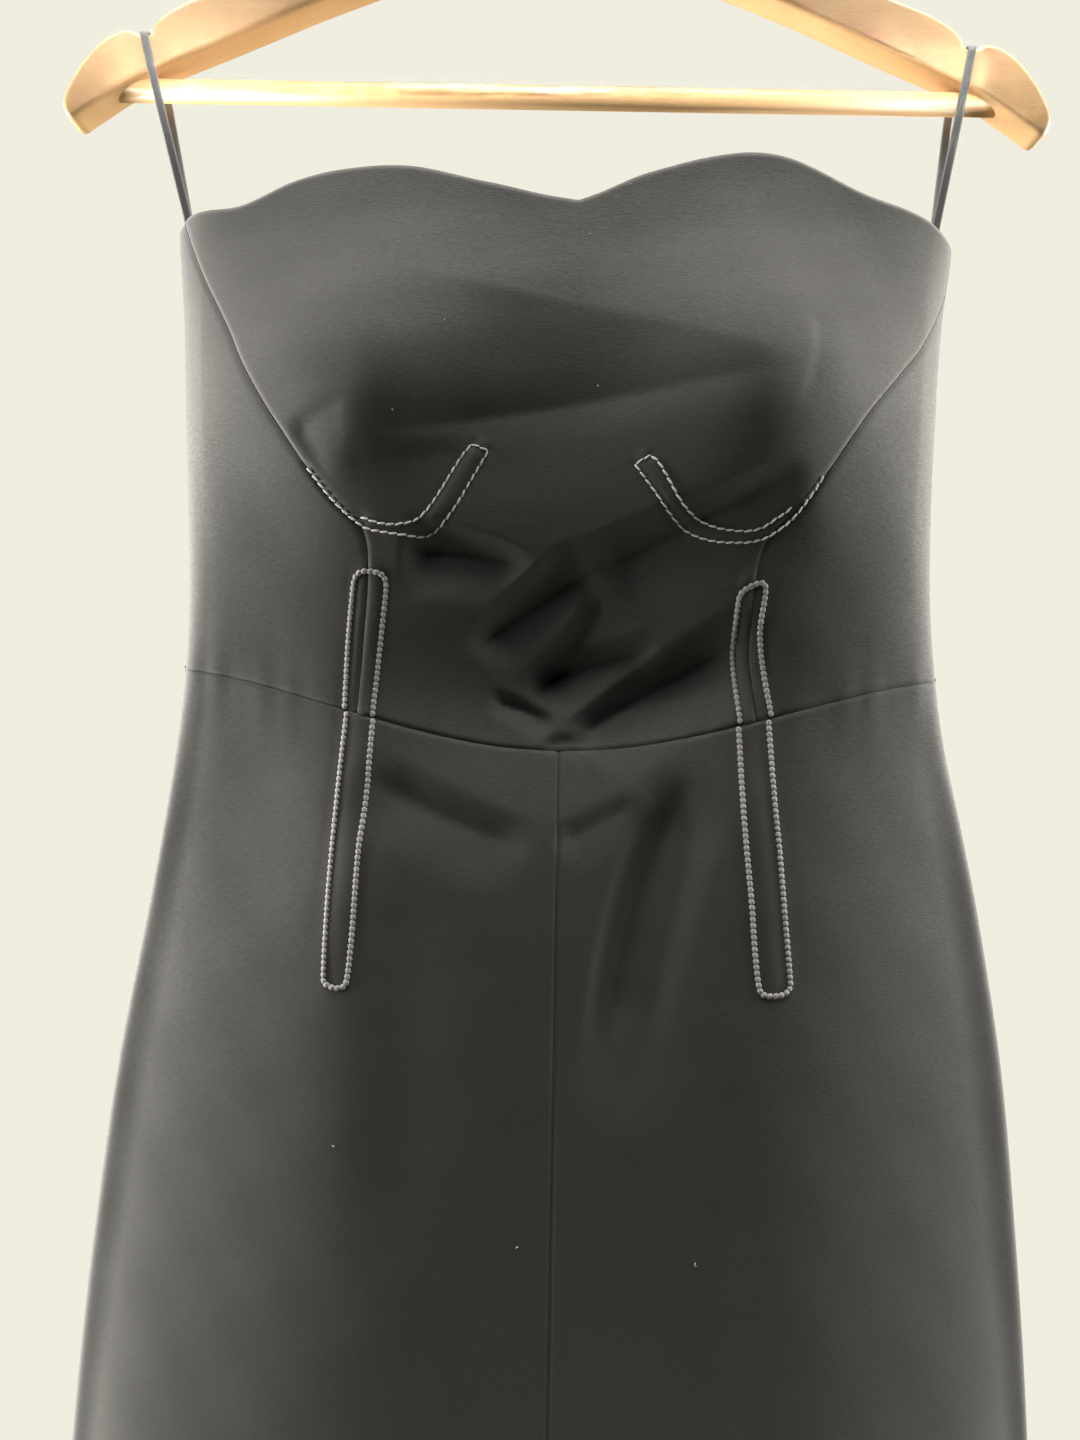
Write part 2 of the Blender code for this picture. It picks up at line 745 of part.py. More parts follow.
def loop_outline(end_y):
    """The loop seen from the side, as y and z down the front strand and up the back one."""
    clear = ARM_THICKNESS / 2 + LOOP_CLEARANCE + LOOP_THICKNESS / 2
    top = NOTCH_Z + LOOP_CLEARANCE + LOOP_THICKNESS / 2
    shoulder = top - LOOP_SHOULDER_DROP
    flat = ARM_THICKNESS / 2 - ARM_ROUNDING - LOOP_FLAT_INSET
    turn = ARM_THICKNESS / 2 - LOOP_TURN_INSET
    half = LOOP_THICKNESS / 2 + STRAND_GAP / 2
    front = [
        (-flat, top),
        (-turn, top - LOOP_TURN_DROP),
        (-clear, shoulder),
        (-clear, BAR_Z),
        (mix(-clear, end_y, 0.5) - half, mix(BAR_Z, LOOP_JOIN_Z, 0.5)),
        (end_y - half, LOOP_JOIN_Z),
        (end_y - half, LOOP_END_Z),
    ]
    back = [
        (end_y + half, LOOP_END_Z),
        (end_y + half, LOOP_JOIN_Z),
        (mix(clear, end_y, 0.5) + half, mix(BAR_Z, LOOP_JOIN_Z, 0.5)),
        (clear, BAR_Z),
        (clear, shoulder),
        (turn, top - LOOP_TURN_DROP),
        (flat, top),
    ]
    return front + back


def build_hanger_loop(loop, material, collection):
    """A ribbon loop: a closed strip that leans from the notch to its end in the garment."""
    outline = loop_outline(loop.end_y)
    notch_x = loop.side * NOTCH_X
    end_x = CENTRE_X + loop.end_across
    bm = bmesh.new()
    ring = bmesh.ops.create_circle(bm, segments=len(outline), radius=1.0)["verts"]
    walls = bmesh.ops.extrude_edge_only(bm, edges=bm.edges[:])["geom"]
    copies = [item for item in walls if isinstance(item, bmesh.types.BMVert)]
    for verts, shift in ((ring, -LOOP_WIDTH / 2), (copies, LOOP_WIDTH / 2)):
        for vert in verts:
            turn = math.atan2(vert.co.x, vert.co.y) / (2 * math.pi)
            y, z = outline[round(turn * len(outline)) % len(outline)]
            lean = min(max((NOTCH_Z - z) / (NOTCH_Z - LOOP_JOIN_Z), 0.0), 1.0)
            vert.co = Vector((mix(notch_x, end_x, lean) + shift, y, z)) * MM
    bmesh.ops.recalc_face_normals(bm, faces=bm.faces)
    obj = add_object(loop.name, bm, material, collection)
    wall = obj.modifiers.new("Wall", "SOLIDIFY")
    wall.thickness = LOOP_THICKNESS * MM
    wall.offset = 0
    wall.use_even_offset = True
    return obj


# Zip

def box_bmesh(size, centre):
    """A closed box about a centre."""
    bm = bmesh.new()
    bmesh.ops.create_cube(bm, size=1.0)
    bmesh.ops.scale(bm, vec=Vector(size) * MM, verts=bm.verts)
    bmesh.ops.translate(bm, vec=Vector(centre) * MM, verts=bm.verts)
    return bm


def zip_plate_y():
    """The inner face of the slider's plate, just outside the back."""
    reach = SLIDER_HEIGHT / 2
    faces = [back_point(NEAR_CENTRE, SLIDER_Z + side * reach).y for side in (-1, 0, 1)]
    return max(faces) + SIDE_GAP / 2 + SLIDER_STAND_OFF


def zip_pin_y():
    """The pin's distance behind the garment's side seams."""
    return zip_plate_y() + SLIDER_PLATE + PIN_OUT


def build_zip_slider(material, collection, cutters):
    """A plate with two ears and a pin between them."""
    plate_y = zip_plate_y() + SLIDER_PLATE / 2
    plate = box_bmesh((SLIDER_WIDTH, SLIDER_PLATE, SLIDER_HEIGHT), (CENTRE_X, plate_y, SLIDER_Z))
    slider = add_object("zip_slider", plate, material, collection)
    rounding = slider.modifiers.new("Rounding", "BEVEL")
    rounding.width = SLIDER_ROUNDING * MM
    rounding.segments = 1
    for side in (-1, 1):
        x = CENTRE_X + side * (EAR_INNER + EAR_THICKNESS / 2)
        depth = PIN_OUT + EAR_RADIUS + SLIDER_PLATE / 2
        ear = box_bmesh((EAR_THICKNESS, depth, 2 * EAR_RADIUS), (x, plate_y + depth / 2, SLIDER_Z))
        join_with(slider, add_cutter(f"ear_{side}", ear, cutters))
    pin_place = (CENTRE_X, zip_pin_y(), SLIDER_Z)
    pin = rod_bmesh(PIN_RADIUS, 2 * EAR_INNER + EAR_THICKNESS, pin_place, Vector((1, 0, 0)), PIN_SIDES)
    join_with(slider, add_cutter("zip_pin", pin, cutters))
    return slider


def build_zip_pull(material, collection, cutters):
    """The pull: an eye round the pin, a neck and a flat tab, with its origin on the pin."""
    pin_y = zip_pin_y()
    tab_length = PULL_LENGTH - PULL_NECK
    tab_z = SLIDER_Z - PULL_NECK - tab_length / 2
    tab = box_bmesh((PULL_WIDTH, PULL_THICKNESS, tab_length), (CENTRE_X, pin_y, tab_z))
    for vert in tab.verts:
        if vert.co.z > tab_z * MM:
            vert.co.x = mix(CENTRE_X * MM, vert.co.x, PULL_TAPER)
    pull = add_object("zip_pull", tab, material, collection)
    rounding = pull.modifiers.new("Rounding", "BEVEL")
    rounding.width = PULL_ROUNDING * MM
    rounding.segments = 2
    neck_z = SLIDER_Z - PULL_NECK / 2 - PULL_NECK_LAP
    neck = box_bmesh((PULL_EYE_WIDTH, PULL_THICKNESS, PULL_NECK), (CENTRE_X, pin_y, neck_z))
    join_with(pull, add_cutter("pull_neck", neck, cutters))
    pin_place = Vector((CENTRE_X, pin_y, SLIDER_Z))
    eye = rod_bmesh(PULL_EYE_RADIUS, PULL_EYE_WIDTH, pin_place, Vector((1, 0, 0)), PULL_EYE_SIDES)
    join_with(pull, add_cutter("pull_eye", eye, cutters))
    bore = rod_bmesh(PULL_EYE_BORE, 2 * PULL_EYE_WIDTH, pin_place, Vector((1, 0, 0)), PULL_EYE_SIDES)
    cut_with(pull, add_cutter("pull_bore", bore, cutters))
    hinge = Matrix.Translation(pin_place * MM)
    pull.data.transform(hinge.inverted())
    pull.matrix_world = hinge
    return pull


def main():
    """Clears the scene and builds every piece."""
    for obj in list(bpy.data.objects):
        bpy.data.objects.remove(obj)
    parts = new_collection("jumpsuit_on_hanger")
    cutters = new_collection("cutters")
    crepe = make_material("crepe", (0.030, 0.029, 0.027), 0.85)
    ribbon = make_material("ribbon", (0.07, 0.07, 0.07), 0.6)
    beech = make_material("beech", (0.72, 0.45, 0.22), 0.45)
    steel = make_material("steel", (0.70, 0.70, 0.70), 0.3, 1.0)
    zip_metal = make_material("zip_metal", (0.05, 0.05, 0.05), 0.4, 1.0)

    build_bust_panel(crepe, parts)
    for side, word in ((-1, "left"), (1, "right")):
        build_side_front(f"side_front_{word}", side, crepe, parts)
        build_bodice_back(f"bodice_back_{word}", side, crepe, parts)
        build_trouser(f"trouser_front_{word}", side, True, crepe, parts)
        build_trouser(f"trouser_back_{word}", side, False, crepe, parts)
    build_hanger_arms(beech, parts, cutters)
    build_hanger_bar(beech, parts)
    build_hanger_hook(steel, parts)
    for loop in LOOPS:
        build_hanger_loop(loop, ribbon, parts)
    build_zip_slider(zip_metal, parts, cutters)
    build_zip_pull(zip_metal, parts, cutters)


main()
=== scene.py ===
"""The look of a strapless jumpsuit hung on a wooden hanger.

Sizes are in millimetres and are turned to metres where a mesh is made. +Z is up and the front faces -Y.
x on the garment is measured from its own centre line, and z from the inside top of the hook.
"""

import math
from collections import namedtuple

import bmesh
import bpy
import numpy as np
from mathutils import Matrix, Vector

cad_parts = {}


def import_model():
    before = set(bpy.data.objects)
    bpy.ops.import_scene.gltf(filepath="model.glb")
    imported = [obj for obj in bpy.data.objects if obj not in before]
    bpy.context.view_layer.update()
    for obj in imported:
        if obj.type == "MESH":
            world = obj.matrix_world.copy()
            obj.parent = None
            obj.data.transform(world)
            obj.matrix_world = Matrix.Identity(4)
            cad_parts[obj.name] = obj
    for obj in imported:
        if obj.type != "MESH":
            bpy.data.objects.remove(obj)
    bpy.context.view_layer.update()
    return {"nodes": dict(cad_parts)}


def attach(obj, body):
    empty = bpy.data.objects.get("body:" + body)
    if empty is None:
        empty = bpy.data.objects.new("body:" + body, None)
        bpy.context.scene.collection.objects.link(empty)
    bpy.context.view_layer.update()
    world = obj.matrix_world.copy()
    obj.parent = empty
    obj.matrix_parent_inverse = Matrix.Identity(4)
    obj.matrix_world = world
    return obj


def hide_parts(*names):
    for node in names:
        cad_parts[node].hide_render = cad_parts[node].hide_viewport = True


MM = 0.001


def table(columns, *rows):
    """A short table, whose rows are read by the names of its columns."""
    row = namedtuple("Row", columns)
    return [row(*values) for values in rows]


# The garment's form
CENTRE_X = 5.5
WALL = 1.5
PROUD = 0.3
CORNER_Z = -251.0
BACK_TOP_Z = -263.0
WAIST_SIDE_Z = -445.0
WAIST_BACK_Z = -451.0
CROTCH_START_Z = -768.0
CROTCH_Z = -825.0
HEM_Z = -1590.0
LEG_FORM_START_Z = -600.0
LEG_FORM_END_Z = -980.0
CROTCH_TURN_WIDTH = 0.18
# The waist seam's curve evens out down the trousers over this height, at this power.
WAIST_EVEN_HEIGHT = 140.0
WAIST_EVEN_CURVE = 1.5
# The turned edge of the centre seam fades out around the crotch.
CENTRE_SEAM_END = 24.0
CENTRE_SEAM_FADE = 40.0
FRONT_SQUARENESS = 2.4
BACK_SQUARENESS = 4.0
EDGE_EASE = 2.5
# From these heights down the front falls off sooner to its sides.
SLACK_START_Z = -400.0
SLACK_FULL_Z = -540.0
SLACK_FALL = 1.55
SLACK_EDGE = 0.45
NEAR_CENTRE = 1e-6
BACK_EDGE_CURVE = 1.6
SEAM_SLIT = 0.12
SEAM_SEARCH_MARGIN = 10.0
SEAM_SEARCH_STEPS = 26
NORMAL_STEP = 0.5
PATH_STEPS = 12
NEARNESS_SPACING = 2.0

SECTIONS = table(
    "z left right front back",
    (-215, 174.0, 173.0, 26, 20),
    (-250, 174.0, 173.0, 29, 21),
    (-290, 171.0, 168.5, 34, 22),
    (-330, 169.5, 166.5, 36, 22),
    (-370, 168.0, 165.5, 33, 21),
    (-410, 167.0, 166.0, 30, 20),
    (-445, 168.0, 169.0, 28, 20),
    (-475, 171.0, 173.5, 29, 21),
    (-510, 176.0, 181.5, 31, 22),
    (-550, 182.5, 190.0, 33, 24),
    (-620, 195.0, 201.7, 35, 26),
    (-700, 204.8, 209.8, 36, 28),
    (-760, 210.3, 214.5, 36, 28),
    (-825, 214.5, 218.0, 36, 28),
    (-950, 220.0, 223.0, 34, 28),
    (-1200, 226.0, 229.0, 33, 28),
    (-1590, 231.0, 234.0, 34, 30),
)
INSEAMS = table(
    "z out",
    (-825, 0.0),
    (-870, 1.2),
    (-950, 3.0),
    (-1200, 6.5),
    (-1590, 9.0),
)
TOP_EDGE = table(
    "across z",
    (-174, -251.0),
    (-166, -245.0),
    (-142, -244.5),
    (-117, -235.0),
    (-97, -231.0),
    (-68, -230.0),
    (-34, -237.0),
    (4, -243.0),
    (34, -231.5),
    (72, -221.5),
    (95, -222.5),
    (127, -235.5),
    (158, -243.0),
    (173, -252.0),
)
# The small sharp dip in the middle of the top edge.
TOP_DIP = 1.6
TOP_DIP_ACROSS = 4.0
TOP_DIP_WIDE = 5.0
WAIST_EDGE = table(
    "across z",
    (0, -478.7),
    (26, -477.0),
    (52, -472.4),
    (80, -465.4),
    (115, -456.0),
    (141, -449.7),
    (169, -445.0),
)
BUST_SEAM = table(
    "z left right",
    (-246, 170.5, 172.3),
    (-262, 164.0, 171.0),
    (-276, 157.5, 168.0),
    (-300, 144.5, 155.0),
    (-316, 137.0, 142.0),
    (-333, 127.0, 128.0),
    (-345, 119.0, 119.5),
    (-360, 108.5, 109.5),
    (-375, 96.0, 98.0),
    (-386, 84.5, 87.0),
    (-402, 82.0, 82.2),
    (-433, 84.2, 80.8),
    (-466, 87.0, 84.4),
)
# The two cups, and the hollow where the cloth falls in from them to the waist.
SWELLS = table(
    "across z push wide tall",
    (-82, -325, 16, 62, 60),
    (82, -325, 19, 58, 60),
    (4, -456, -12, 76, 38),
)

# A crease runs through three points. The cloth falls away from it on the left hand of somebody who walks
# from its start to its end, over fall0 to fall1 millimetres, and comes back over rise.
FRONT_CREASES = table(
    "x0 z0 xm zm x1 z1 fall0 fall1 slope rise",
    # the dent between the cups
    (98, -319, 20, -296, -80, -277, 1, 74, 0.13, 50),
    # the long diagonal under the right cup, and its steeper end
    (100, -352, 50, -371, -4, -393, 6, 17, 0.54, 50),
    (6, -385, -21, -408, -46, -432, 17, 8, 0.78, 22),
    # pockets between the diagonal and the waist
    (-8, -397, -37, -386, -68, -380, 5, 15, 0.74, 22),
    (11, -405, 0, -427, -26, -451, 8, 13, 0.50, 20),
    (42, -424, 12, -433, -18, -441, 8, 11, 0.60, 18),
    (82, -408, 28, -446, 0, -468, 16, 8, 0.76, 28),
    (1, -465, -13, -457, -31, -450, 5, 5, 0.80, 9),
    (18, -473, 3, -470, -10, -476, 5, 4, 0.50, 9),
    # the small creases by the cups' outer sides
    (98, -296, 100, -310, 92, -336, 3, 4, 0.12, 12),
    (-88, -334, -104, -336, -119, -344, 1, 9, 0.20, 24),
    (-40, -345, -66, -350, -96, -347, 6, 10, 0.14, 24),
    # the V below the waist and the long crease beside the centre front
    (-6, -509, -40, -497, -80, -475, 10, 14, 0.36, 26),
    (34, -492, 14, -502, -6, -512, 6, 8, 0.34, 16),
    (43, -476, 20, -543, 10, -616, 17, 12, 0.62, 26),
)
CREASE_END = 0.26
CREASE_STEPS = 16
CREASE_RETURN = 1.4

# A soft fold is a trough down the cloth with its own width and depth. A negative depth makes a low ridge.
FRONT_TROUGHS = table(
    "x0 z0 x1 z1 wide deep",
    (-132, -310, -134, -580, 34, 2.6),
    (-76, -370, -86, -960, 50, -4.4),
    (-66, -520, -60, -700, 20, 2.2),
    (44, -500, 22, -640, 20, 3.0),
    (96, -370, 108, -960, 46, -3.4),
    (-150, -900, -158, -1560, 22, 4.0),
    (-74, -1000, -66, -1600, 26, 5.0),
    (70, -880, 78, -1600, 24, 5.0),
    (158, -1000, 150, -1600, 22, 4.0),
    (-38, -640, -44, -900, 11, 0.9),
    (72, -600, 66, -880, 12, 1.0),
    (-118, -980, -112, -1380, 12, 1.6),
    (112, -1040, 118, -1500, 13, 1.8),
    (30, -1100, 36, -1560, 11, 1.4),
    (-30, -1180, -34, -1590, 10, 1.3),
)
BACK_TROUGHS = table(
    "x0 z0 x1 z1 wide deep",
    (-84, -300, -78, -430, 26, 3.0),
    (70, -290, 82, -430, 24, 3.0),
    (-96, -480, -110, -760, 28, 3.5),
    (90, -470, 112, -790, 26, 3.5),
    (-140, -900, -150, -1600, 24, 4.5),
    (-60, -860, -66, -1600, 24, 4.5),
    (66, -900, 60, -1600, 26, 4.5),
    (148, -960, 140, -1600, 22, 4.0),
    (-36, -500, -30, -640, 12, 1.3),
    (34, -520, 40, -700, 13, 1.5),
    (-150, -520, -160, -740, 12, 1.4),
    (110, -980, 104, -1420, 13, 1.8),
    (-104, -1060, -98, -1500, 12, 1.6),
)
TROUGH_END = 0.25

# Soft unevenness of the cloth, as a sum of long waves.
WAVES = table(
    "length turn phase high",
    (71, 12, 0.4, 0.09),
    (53, 71, 2.1, 0.08),
    (39, 128, 4.0, 0.06),
    (31, 33, 5.3, 0.05),
    (23, 97, 1.2, 0.04),
)
# Puckers along the waist seam.
PUCKERS = table(
    "length turn phase high",
    (17, 0, 0.6, 0.12),
    (11.5, 0, 2.9, 0.09),
    (29, 0, 4.4, 0.13),
)
PUCKER_FADE = 11.0
# The back reads the same waves and puckers from further along.
BACK_WAVE_SHIFT = 400.0
BACK_PUCKER_SHIFT = 90.0

# Topstitching: each line runs through its points on the cloth.
STITCH_LINES = table(
    "name kind points",
    ("cup_left_outer", "fine", (
        (-107.1, -361.4), (-96, -375), (-84.6, -384.7), (-75.1, -387.4), (-62.8, -388.8), (-56.7, -387.9),
        (-50.6, -383.7), (-44.6, -375.8), (-38.7, -365.5), (-31.9, -353.5))),
    ("cup_left_cap", "fine", ((-32.4, -353.3), (-38.6, -351.0))),
    ("cup_left_inner", "fine", (
        (-38.9, -351.6), (-42.9, -356.6), (-48.9, -366.5), (-54.9, -376), (-60.9, -382.2), (-69, -384.4),
        (-77.2, -383.8), (-84.6, -381.4))),
    ("cup_right_outer", "fine", (
        (107.7, -361.7), (102.6, -370), (96.6, -378.3), (88.5, -385), (80.4, -388.4), (70.2, -389),
        (59.9, -387.5), (51.6, -383.6), (43.3, -376.3), (37.1, -368.3), (29.5, -358.6))),
    ("cup_right_cap", "fine", ((29.9, -358.2), (35.4, -355.2))),
    ("cup_right_inner", "fine", (
        (35.8, -355.4), (38.9, -358.2), (44, -366.1), (48.6, -373), (55.7, -379), (63.9, -382.9),
        (74.2, -384.4), (82.3, -383.4), (90.4, -378.4), (95.3, -374.6))),
    ("channel_left_upper", "rope", (
        (-92, -461.8), (-91.6, -448), (-90.8, -433), (-88.6, -411), (-87.2, -405.4), (-84.6, -403.6),
        (-78.6, -403.9), (-75.6, -405.4), (-74.4, -409.5), (-75.6, -421), (-76.9, -432.8), (-78.6, -448),
        (-80.2, -464.9))),
    ("channel_left_lower", "rope", (
        (-91, -463.2), (-93.8, -500.3), (-96.5, -542.4), (-97.4, -574), (-96.4, -577.6), (-92.6, -579.2),
        (-89.2, -578.6), (-87.4, -575.6), (-85.7, -554.8), (-83.8, -521.1), (-81.6, -500.1),
        (-79.7, -466.0))),
    ("channel_right_upper", "rope", (
        (77.8, -465.2), (75.3, -442.7), (74.7, -430.1), (75.1, -414), (76.4, -409.6), (79.6, -407.2),
        (84, -405.3), (86.1, -406.2), (86.3, -411), (85.1, -425.8), (88, -446.7), (90.8, -461.9))),
    ("channel_right_lower", "rope", (
        (77, -466.8), (78.4, -497.3), (80, -518.3), (82.1, -539.3), (83.7, -560.2), (85.8, -576.4),
        (88.2, -579.2), (94.6, -579.2), (98.2, -577.4), (99, -574), (96.5, -547.4), (93.9, -518),
        (91.8, -497.1), (89.6, -463.6))),
)
# A stitch has half_wide and half_high, a slant in degrees, and the lift of its middle off the cloth.
Thread = namedtuple("Thread", "length gap half_wide half_high slant lift")
THREADS = {
    "fine": Thread(3.2, 0.5, 0.48, 0.44, 9.0, 0.32),
    "rope": Thread(2.4, 0.1, 1.25, 0.80, 16.0, 0.20),
}
STITCH_PATH_SPACING = 0.25
STITCH_OVERLAP = 0.2
STITCH_TAPER = 0.75
STITCH_SIDES = 8
GROOVE_DEEP = 0.45
GROOVE_WIDE = 1.5
GROOVE_REACH = 6.0
# Casings between the stitch lines stand up a little. Each runs through its centre points.
CASINGS = table(
    "half high points",
    (3.6, 0.7, (
        (-80, -383.4), (-70, -386.4), (-58.8, -385), (-49.8, -375), (-43.6, -364.6), (-35.6, -352.8))),
    (3.8, 0.7, ((90, -381.6), (74, -386.8), (58, -383.3), (47, -372.6), (38, -362), (33.0, -357.4))),
    (5.6, 0.6, ((-81, -404.5), (-83.8, -432.9), (-86, -462))),
    (5.6, 0.6, ((-85.4, -467), (-87.7, -500.2), (-91, -548), (-92.2, -578))),
    (5.4, 0.6, ((80.6, -406), (79.9, -428), (84.3, -461.5))),
    (6.0, 0.6, ((83.3, -467.8), (86.9, -518), (92.6, -577))),
)
# A casing is flat out to the first share of its half width and is level with the cloth at the second one.
CASING_FLAT = 0.5
CASING_FOOT = 4 / 3

# How deep and over what width the sewn edges turn in.
Roll = namedtuple("Roll", "deep wide")
BUST_SEAM_ROLL = Roll(0.4, 0.8)
SIDE_FRONT_ROLL = Roll(0.4, 0.9)
BODICE_WAIST_ROLL = Roll(0.9, 1.0)
TOP_ROLL = Roll(0.8, 0.9)
BODICE_CENTRE_ROLL = Roll(0.7, 0.9)
TROUSER_SEAM_ROLL = Roll(0.6, 0.9)
HEM_ROLL = Roll(0.8, 0.9)
# The turned-up hem, its height, and how much thicker it is.
HEM_HEIGHT = 32.0
HEM_STEP = 1.5
HEM_THICKER = 0.25

# The grid of each panel: its rough size, the cells inside it, and the first cell at its edges.
Grid = namedtuple("Grid", "wide cell_wide long cell_long edge")
GRIDS = {
    "bust_panel": Grid(300, 1.7, 245, 1.7, 0.4),
    "side_front": Grid(95, 2.2, 210, 2.2, 0.5),
    "bodice_back": Grid(170, 1.5, 190, 2.6, 0.5),
    "trouser_front": Grid(220, 2.4, 1145, 3.36, 0.5),
    "trouser_back": Grid(220, 3.2, 1145, 4.48, 0.5),
}
EDGE_CELLS = (1.0, 1.3, 1.8, 2.4)

# The rectangle that each flat panel fits in, the share of it that the panel fills, and what carries it.
CUTS = table(
    "panel wide long share hangs_from",
    ("bust_panel", 366, 270, 0.62, ("hanger_loop_left_ribbon", "hanger_loop_right_ribbon")),
    ("side_front_left", 100, 218, 0.60, ("bust_panel_cloth",)),
    ("side_front_right", 98, 216, 0.55, ("bust_panel_cloth",)),
    ("bodice_back_left", 184, 202, 0.91, ("side_front_left_cloth",)),
    ("bodice_back_right", 182, 202, 0.91, ("side_front_right_cloth",)),
    ("trouser_front_left", 250, 1148, 0.91, ("bust_panel_cloth", "side_front_left_cloth")),
    ("trouser_back_left", 250, 1148, 0.92, ("bodice_back_left_cloth",)),
    ("trouser_front_right", 254, 1148, 0.91, ("bust_panel_cloth", "side_front_right_cloth")),
    ("trouser_back_right", 254, 1148, 0.92, ("bodice_back_right_cloth",)),
)

# Bits of lint on the front, with the length of each and its turn in degrees.
LINT = table(
    "across z long turn",
    (-14, -685, 1.3, 20),
    (60.3, -691.3, 1.7, 75),
    (-91.7, -644.8, 1.1, 140),
    (9.1, -260.6, 0.9, 30),
    (13.2, -325.9, 0.9, 110),
    (-50.5, -301.6, 0.8, 60),
    (26, -237.6, 0.8, 15),
    (-70.9, -339.3, 0.9, 95),
)
LINT_WIDE = 0.45
LINT_HIGH = 0.3
# The crooked end of a fleck: its place along and beside the fleck, and its size, as shares.
LINT_END_PLACE = (0.8, 0.7)
LINT_END_SIZE = (0.6, 0.7, 0.8)

# Zip
ZIP_LIP = 5.5
ZIP_LIP_HIGH = 0.45
ZIP_LIP_EDGE = 1.2
ZIP_LIP_FADE = 6.0
ZIP_END_Z = -640.0
ZIP_TEETH_TOP_Z = -282.0
TOOTH_PITCH = 1.3
TOOTH_HALF = (0.75, 0.3, 0.42)
TOOTH_LEAN = 14.0
TOOTH_SINK = 0.1
TOOTH_SIDES = 6
# The seam allowance's end: two small rolls at both side ends of the waist seam.
WAIST_ROLLS = table("lift size", (0.9, 1.0), (-1.0, 0.8))
WAIST_ROLL_HALF = (1.0, 1.2, 0.9)
WAIST_ROLL_INSET = 0.2
WAIST_ROLL_SIDES = 10

# Hanger
ARM_THICKNESS = 16.0
ARM_ROUNDING = 2.6
ARM_EDGE = table(
    "across z",
    (0, -85), (14, -86), (28, -91), (50, -102.5), (78, -114), (110, -127),
    (145, -141), (162, -147.5), (171, -152), (176, -155.5), (179.2, -159.5),
    (180.9, -163.5), (186.3, -163.5), (189.3, -161.8), (195.3, -162.5), (202.8, -167),
    (209.3, -174), (214.8, -182), (219.0, -191),
    (219.5, -196), (217.6, -200.5), (213.9, -201.5), (207.4, -197), (184, -182),
    (145, -165), (101, -146), (60, -130.5), (30, -121), (14, -118), (0, -117),
)
ARM_EDGE_STEPS = 4
ARM_EDGE_SPACING = 1.6
BAR_Z = -185.0
BAR_RADIUS = 4.9
BAR_HALF_LENGTH = 206.0
BAR_SIDES = 48
HOOK_WIRE_RADIUS = 2.0
HOOK_INNER_RADIUS = 21.0
HOOK_FIRST_ANGLE = -50.0
HOOK_LAST_ANGLE = 205.0
HOOK_STEM_TOP_Z = -62.0
HOOK_STEM_DEPTH = 18.0
HOOK_NECK_PULL = 18.0
HOOK_ROOT_GAP = 1.0
HOOK_NECK_STEPS = 16
HOOK_RING_STEPS = 64
HOOK_EDGE_STEPS = 6
NOTCH_X = 183.5
NOTCH_Z = -163.5
LOOP_WIDTH = 3.6
LOOP_THICKNESS = 0.8
LOOP_CLEARANCE = 0.35
LOOP_PLY_GAP = 0.1
LOOP_JOIN_Z = -247.0
LOOP_END_Z = -262.0
# Where the ribbon bends over the notch's edge: in from the arm's flat top and side, and down from the top.
LOOP_FLAT_INSET = 0.4
LOOP_BEND_INSET = 0.1
LOOP_BEND_DROP = 0.9
LOOP_HANG_DROP = 4.0
LOOP_SPACING = 1.5
LOOP_STRIPS = 4
LOOPS = table(
    "name side end_across end_y",
    ("left", -1, -169.2, -1.4),
    ("right", 1, 163.0, -6.5),
)

# Camera: the place and lens that the photograph's outline gives.
CAMERA_PLACE = (-2.8, -490.0, -465.2)
CAMERA_ROLL = 1.0
HALF_VIEW_HEIGHT = 324.3
SENSOR = 36.0
FLOOR_Z = -1750.0
FLOOR_HALF_SIZE = 900.0
FLOOR_COLOUR = (0.36, 0.35, 0.315, 1)
FLOOR_ROUGHNESS = 0.8
BACKDROP_COLOUR = (0.87, 0.85, 0.74, 1)

# Studio: soft lights by place and size in metres, all turned to the bodice.
Light = namedtuple("Light", "name x y z wide tall watts")
LIGHTS = (
    Light("left", -1.6, 0.25, -0.55, 1.0, 1.0, 106),
    Light("right", 1.6, 0.25, -0.15, 1.0, 1.0, 68),
    Light("top", 0.0, -0.2, 1.2, 2.2, 1.0, 62),
    Light("top_left", -1.1, -1.1, 1.0, 1.0, 1.0, 6),
    Light("front", 0.0, -1.4, 1.7, 1.6, 1.0, 13),
    Light("back", 1.1, 1.6, 0.7, 1.2, 1.2, 14),
)
# A narrow light for the hanger alone.
HANGER_LIGHT = Light("hanger", 0.0, -1.0, 0.35, 0.40, 0.02, 0.076)
HANGER_AIM = (0.0, 0.0, -0.185)
HANGER_SPREAD = 3.0
LIGHT_AIM = (0.0, 0.0, -0.45)
LIGHT_COLOUR = (1.0, 0.965, 0.88)

# Merging distance of meshes, in metres.
MERGE = 0.00001
# Most of a noise texture's values lie between these.
NOISE_LOW = 0.3
NOISE_HIGH = 0.7
# The looks that are made of thread: bump_size is in metres.
ThreadLook = namedtuple("ThreadLook", "roughness bump bump_size colour")
THREAD_LOOKS = {
    "white_thread": ThreadLook(0.6, 0.5, 0.0002, (0.80, 0.80, 0.78, 1)),
    "grey_thread": ThreadLook(0.7, 0.5, 0.0003, (0.40, 0.40, 0.40, 1)),
    "lint_look": ThreadLook(0.9, 0.3, 0.0001, (0.50, 0.50, 0.48, 1)),
    "coil_look": ThreadLook(0.4, 0.2, 0.0001, (0.02, 0.02, 0.02, 1)),
}


# Interpolation, on arrays

